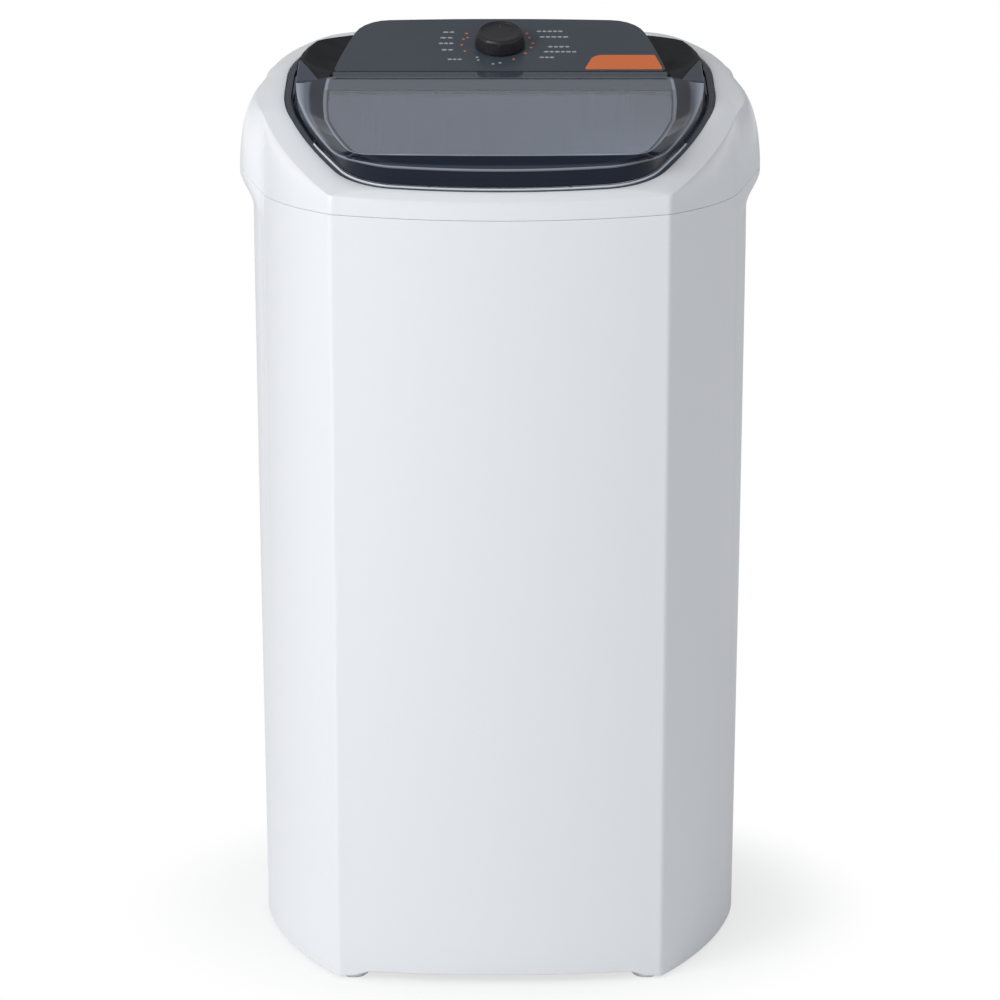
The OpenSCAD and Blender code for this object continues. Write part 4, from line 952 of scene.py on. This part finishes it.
def hose_tree():
    """A corrugated tube along a path: its radius swings between low and high."""
    tree, given, output = new_tree("corrugated_tube", Rings="Int", Low="Float", High="Float",
                                   Segments="Int", Finish="Material")
    link = tree.links.new
    path = add_node(tree, "GeometryNodeMeshToCurve")
    even = add_node(tree, "GeometryNodeResampleCurve")
    index = add_node(tree, "GeometryNodeInputIndex").outputs[0]
    wave = math_node(tree, "SINE", math_node(tree, "MULTIPLY", index, math.pi / 4))
    share = math_node(tree, "MULTIPLY_ADD", wave, 0.5, 0.5)
    low, high = given.outputs["Low"], given.outputs["High"]
    spread = math_node(tree, "SUBTRACT", high, low)
    radius = math_node(tree, "ADD", math_node(tree, "MULTIPLY", share, spread), low)
    circle = add_node(tree, "GeometryNodeCurvePrimitiveCircle", {"Radius": 1})
    tube = add_node(tree, "GeometryNodeCurveToMesh", {"Fill Caps": True})
    smooth = add_node(tree, "GeometryNodeSetShadeSmooth")
    link(given.outputs["Geometry"], path.inputs["Mesh"])
    link(path.outputs[0], even.inputs["Curve"])
    link(math_node(tree, "MULTIPLY", given.outputs["Rings"], 8), even.inputs["Count"])
    link(even.outputs[0], tube.inputs["Curve"])
    link(given.outputs["Segments"], circle.inputs["Resolution"])
    link(circle.outputs["Curve"], tube.inputs["Profile Curve"])
    link(radius, tube.inputs["Scale"])
    link(tube.outputs[0], smooth.inputs["Geometry"])
    closing(tree, smooth.outputs[0], given.outputs["Finish"], output)
    return tree


def grown(name, tree, start, place=Matrix.Identity(4), sharp=35.0, **values):
    """Runs a tree on a start mesh in millimetres; keeps its result as a mesh in its place."""
    mesh = bpy.data.meshes.new(name)
    mesh.from_pydata([tuple(p) for p in start["points"]], start.get("edges", []), [])
    for label in ("turn", "stretch"):
        if label in start:
            attribute = mesh.attributes.new(label, "FLOAT_VECTOR", "POINT")
            for item, value in zip(attribute.data, start[label]):
                item.vector = value
    made = bpy.data.objects.new(name, mesh)
    scene.collection.objects.link(made)
    modifier = made.modifiers.new(tree.name, "NODES")
    modifier.node_group = tree
    sockets = {item.name: item.identifier for item in tree.interface.items_tree
               if item.item_type == "SOCKET" and item.in_out == "INPUT"}
    for label, value in values.items():
        modifier[sockets[label]] = value
    baked(made)
    made.data.transform(Matrix.Scale(MM, 4) @ place)
    made.data.shade_smooth()
    made.data.set_sharp_from_angle(angle=math.radians(sharp))
    return made


def path_through(points):
    return {"points": points, "edges": [(k, k + 1) for k in range(len(points) - 1)]}


def pattern(made):
    """Turns a piece made in metres back to millimetres and hides it, as a pattern to copy."""
    made.data.transform(Matrix.Scale(1 / MM, 4))
    made.hide_render = True
    return made


DASH_STEP = 6.5


def print_panel(spot_copies):
    """Plain bars beside the dial and ticks round it, printed on the panel."""
    bars = [(-64.6, -50.4, 88.5), (-67.6, -51.9, 75.5), (-68.9, -51.7, 62.6),
            (-65.6, -51.5, 47.8), (-58.5, -42.0, 26.1), (41.0, 70.9, 90.5), (44.0, 77.0, 77.5),
            (53.2, 78.2, 54.9), (48.4, 85.8, 43.3), (43.6, 60.7, 30.6)]
    ticks = [(145, 46, 2.6), (155, 40, 2.2), (162, 43, 2.2), (180, 43, 2.2), (-160, 41.6, 2.2),
             (-132, 38, 2.2), (-125, 42, 2.2), (-100, 44, 2.2), (-90, 41, 2.2)]
    hot = [(-65, 36), (-34, 34), (-10, 35), (6, 37), (27, 37), (41, 40)]

    def mark(x, y, width, height, turn=0.0):
        return (x, y, 0), (0, 0, math.radians(turn)), (width, height, 1)

    def dial_mark(angle, radius, width):
        a = math.radians(angle)
        return mark(radius * math.cos(a), KNOB_Y + radius * math.sin(a), width, 3.2, angle)

    white = []
    for a, b, y in bars:
        count = max(2, round((b - a) / DASH_STEP))
        step = (b - a) / count
        white += [mark(a + step * (k + 0.5), y, step * (0.93 - 0.13 * (k % 2)), 3.4)
                  for k in range(count)]
    orange = []
    for angle, radius, width in ticks:
        (orange if abs(angle) > 140 else white).append(dial_mark(angle, radius, width * 1.5))
    orange += [dial_mark(angle, radius, 4.0) for angle, radius in hot]
    unit = pattern(bar_mark())
    for name, marks in (("ink_white", white), ("ink_orange", orange)):
        places, turns, sizes = zip(*marks)
        made = grown(name + "_marks", spot_copies,
                     {"points": places, "turn": turns, "stretch": sizes},
                     PANEL_FRAME @ Matrix.Translation((0, 0, PANEL_TOP)),
                     Piece=unit, Finish=FINISHES[name])
        settle(made, "cabinet", SLOT_OF["control_panel"])
    bpy.data.objects.remove(unit)


def screw_pattern(name, stations, cross):
    """A turned screw about Z, head down, with a cross recess sunk into its head."""
    rings = [[Vector((radius * math.cos(a), radius * math.sin(a), z)) for a in full_turn(28)]
             for radius, z in stations]
    screw = piece(name, *skinned(rings), "screw_steel", 35)
    arm, tip, sunk = cross
    for turn in (0, 90):
        spin = Matrix.Rotation(math.radians(turn), 3, "Z")
        rings = [[spin @ Vector((x, y, z)) for x, y in ((-reach, -half), (reach, -half),
                                                        (reach, half), (-reach, half))]
                 for reach, z, half in ((arm, -1.0, 0.6), (arm, 0.0, 0.6), (tip, sunk, 0.35))]
        cut_away(screw, piece("cutter", *skinned(rings), "screw_steel"))
    return pattern(screw)


def fit_screws(spot_copies):
    """The base's ten screws and the cover's four, each set from one pattern."""
    base = [(x * sx, y * sy) for x, y in ((87, 283.5), (213.9, 180.7), (254.5, 0))
            for sx in (-1, 1) for sy in ((-1, 1) if y else (1,))]
    groups = [
        ("base_screws", [(x, y, 11.4) for x, y in base], (0, 0, 0),
         [(0.6, 0.05), (2.9, 0.05), (3.5, 0.35), (3.95, 1.0), (4, 1.4), (4, 2.4), (1.9, 2.4),
          (1.9, 10), (0.3, 11.9)], (2.2, 1.2, 1.6)),
        ("cover_screws",
         [(x, FRONT_Y + FRONT_BOW * (1 - (2 * x / SEAM_W) ** 2) + 1.9, 817)
          for x in (-120, -60, 60, 120)], (math.radians(90), 0, 0),
         [(0.6, 0.0), (2.7, 0.05), (3.3, 0.3), (3.6, 0.8), (3.6, 1.6), (1.7, 1.6), (1.7, 10),
          (0.3, 11.4)], (2.0, 1.0, 1.1))]
    for node, places, turn, stations, cross in groups:
        unit = screw_pattern(node + "_pattern", stations, cross)
        made = grown(node + "_set", spot_copies,
                     {"points": places, "turn": [turn] * len(places),
                      "stretch": [(1, 1, 1)] * len(places)},
                     Piece=unit, Finish=FINISHES["screw_steel"])
        settle(made, "cabinet", SLOT_OF[node], node)
        bpy.data.objects.remove(unit)


TUB_RIBS = 22
TUB_FOOT, TUB_TOP, TUB_RADIUS, TUB_SPREAD = 246, 779.3, 205, 23
RIB_HALF = 7.0


def rib_the_tub(round_copies):
    """Upright ribs pressed into the tub's wall, evenly round it."""
    rings = []
    for z, fade in ((268, 0.0), (284, 0.8), (300, 1.0), (500, 1.0), (700, 1.0), (728, 0.8),
                    (744, 0.0)):
        wall = TUB_RADIUS + TUB_SPREAD * (z - TUB_FOOT) / (TUB_TOP - TUB_FOOT)
        loop = []
        for k in range(13):
            a = math.pi * k / 12
            loop.append(Vector((wall + 0.8 - 3.4 * fade * math.sin(a),
                                RIB_HALF * math.cos(a), z)))
        loop += [Vector((wall + 1.4, -RIB_HALF, z)), Vector((wall + 1.4, RIB_HALF, z))]
        rings.append(loop)
    unit = pattern(piece("rib_pattern", *skinned(rings), "tub_plastic", 40))
    made = grown("tub_ribs", round_copies, {"points": [(0, 0, 0)]},
                 Matrix.Translation((0, -10, 0)), Piece=unit, Count=TUB_RIBS,
                 Start=math.radians(8), Step=2 * math.pi / TUB_RIBS,
                 Finish=FINISHES["tub_plastic"])
    settle(made, "cabinet", SLOT_OF["wash_tub"])
    bpy.data.objects.remove(unit)


def bead_the_bezel(path_copies):
    """A light-coloured bead on the bezel's lip, round the front of the opening: a painted
    highlight.
    """
    ring = inset(RIM, 6.3)
    half = len(ring) // 2
    arc = [p for p in ring[half:] + ring[:half] if p.y < -150]
    points = []
    for k, p in enumerate(arc):
        sunk = 1.2 * (1 - ease(min(k, len(arc) - 1 - k) / 8))
        points.append((p.x, p.y, rim_at(p.y) - 0.35 - sunk))
    made = grown("bezel_bead", path_copies, path_through(points), sharp=60, Rings=24,
                 Low=1.25, High=1.25, Segments=16, Finish=FINISHES["painted_highlight_bead"])
    settle(made, "cabinet", SLOT_OF["opening_bezel"])


def lay_hose(path_copies):
    """The corrugated inner hose: down from the tub, round a bend and out to the rear."""
    x, y, bend = -50, 125, 34
    points = [(x, y, z) for z in (203, 170, 138)]
    points += [(x, y + bend - bend * math.cos(a), 106 - bend * math.sin(a))
               for a in (math.radians(9 * k) for k in range(11))]
    points += [(x, end, 72) for end in (190, 220, 250, 281)]
    made = grown("corrugated_hose", path_copies, path_through(points), sharp=60, Rings=34,
                 Low=17.9, High=19.3, Segments=40, Finish=FINISHES["rubber"])
    settle(made, "cabinet", SLOT_OF["drain_hose"], "drain_hose")


# ---------------------------------------------------------------- assembly

SLOT_OF = {part["node"]: part["material_slot"] for part in frame["record"]["subparts"]}
BODY_OF = {node: body for body, members in frame["record"]["behaviour"]["bodies"].items()
           for node in members}

add_camera()
add_world()
add_floor()
add_lamp()
FINISHES = make_finishes()
for name, node_object in nodes.items():
    node_object.data.materials.clear()
    node_object.data.materials.append(FINISHES[SLOT_OF[name]])

cabinet_shell()
top_cover()
opening_bezel()
lid_shell()
lid_hinge()
timer_knob()
spot_copies = spot_tree()
print_panel(spot_copies)
fit_screws(spot_copies)
rib_the_tub(round_tree())
path_tube = hose_tree()
lay_hose(path_tube)
bead_the_bezel(path_tube)
for name, edge in (("console_housing", 0.8), ("control_panel", 0.7), ("accent_plate", 0.25),
                   ("hinge_cover_left", 0.6), ("hinge_cover_right", 0.6), ("impeller", 0.8)):
    dressed(name, edge)
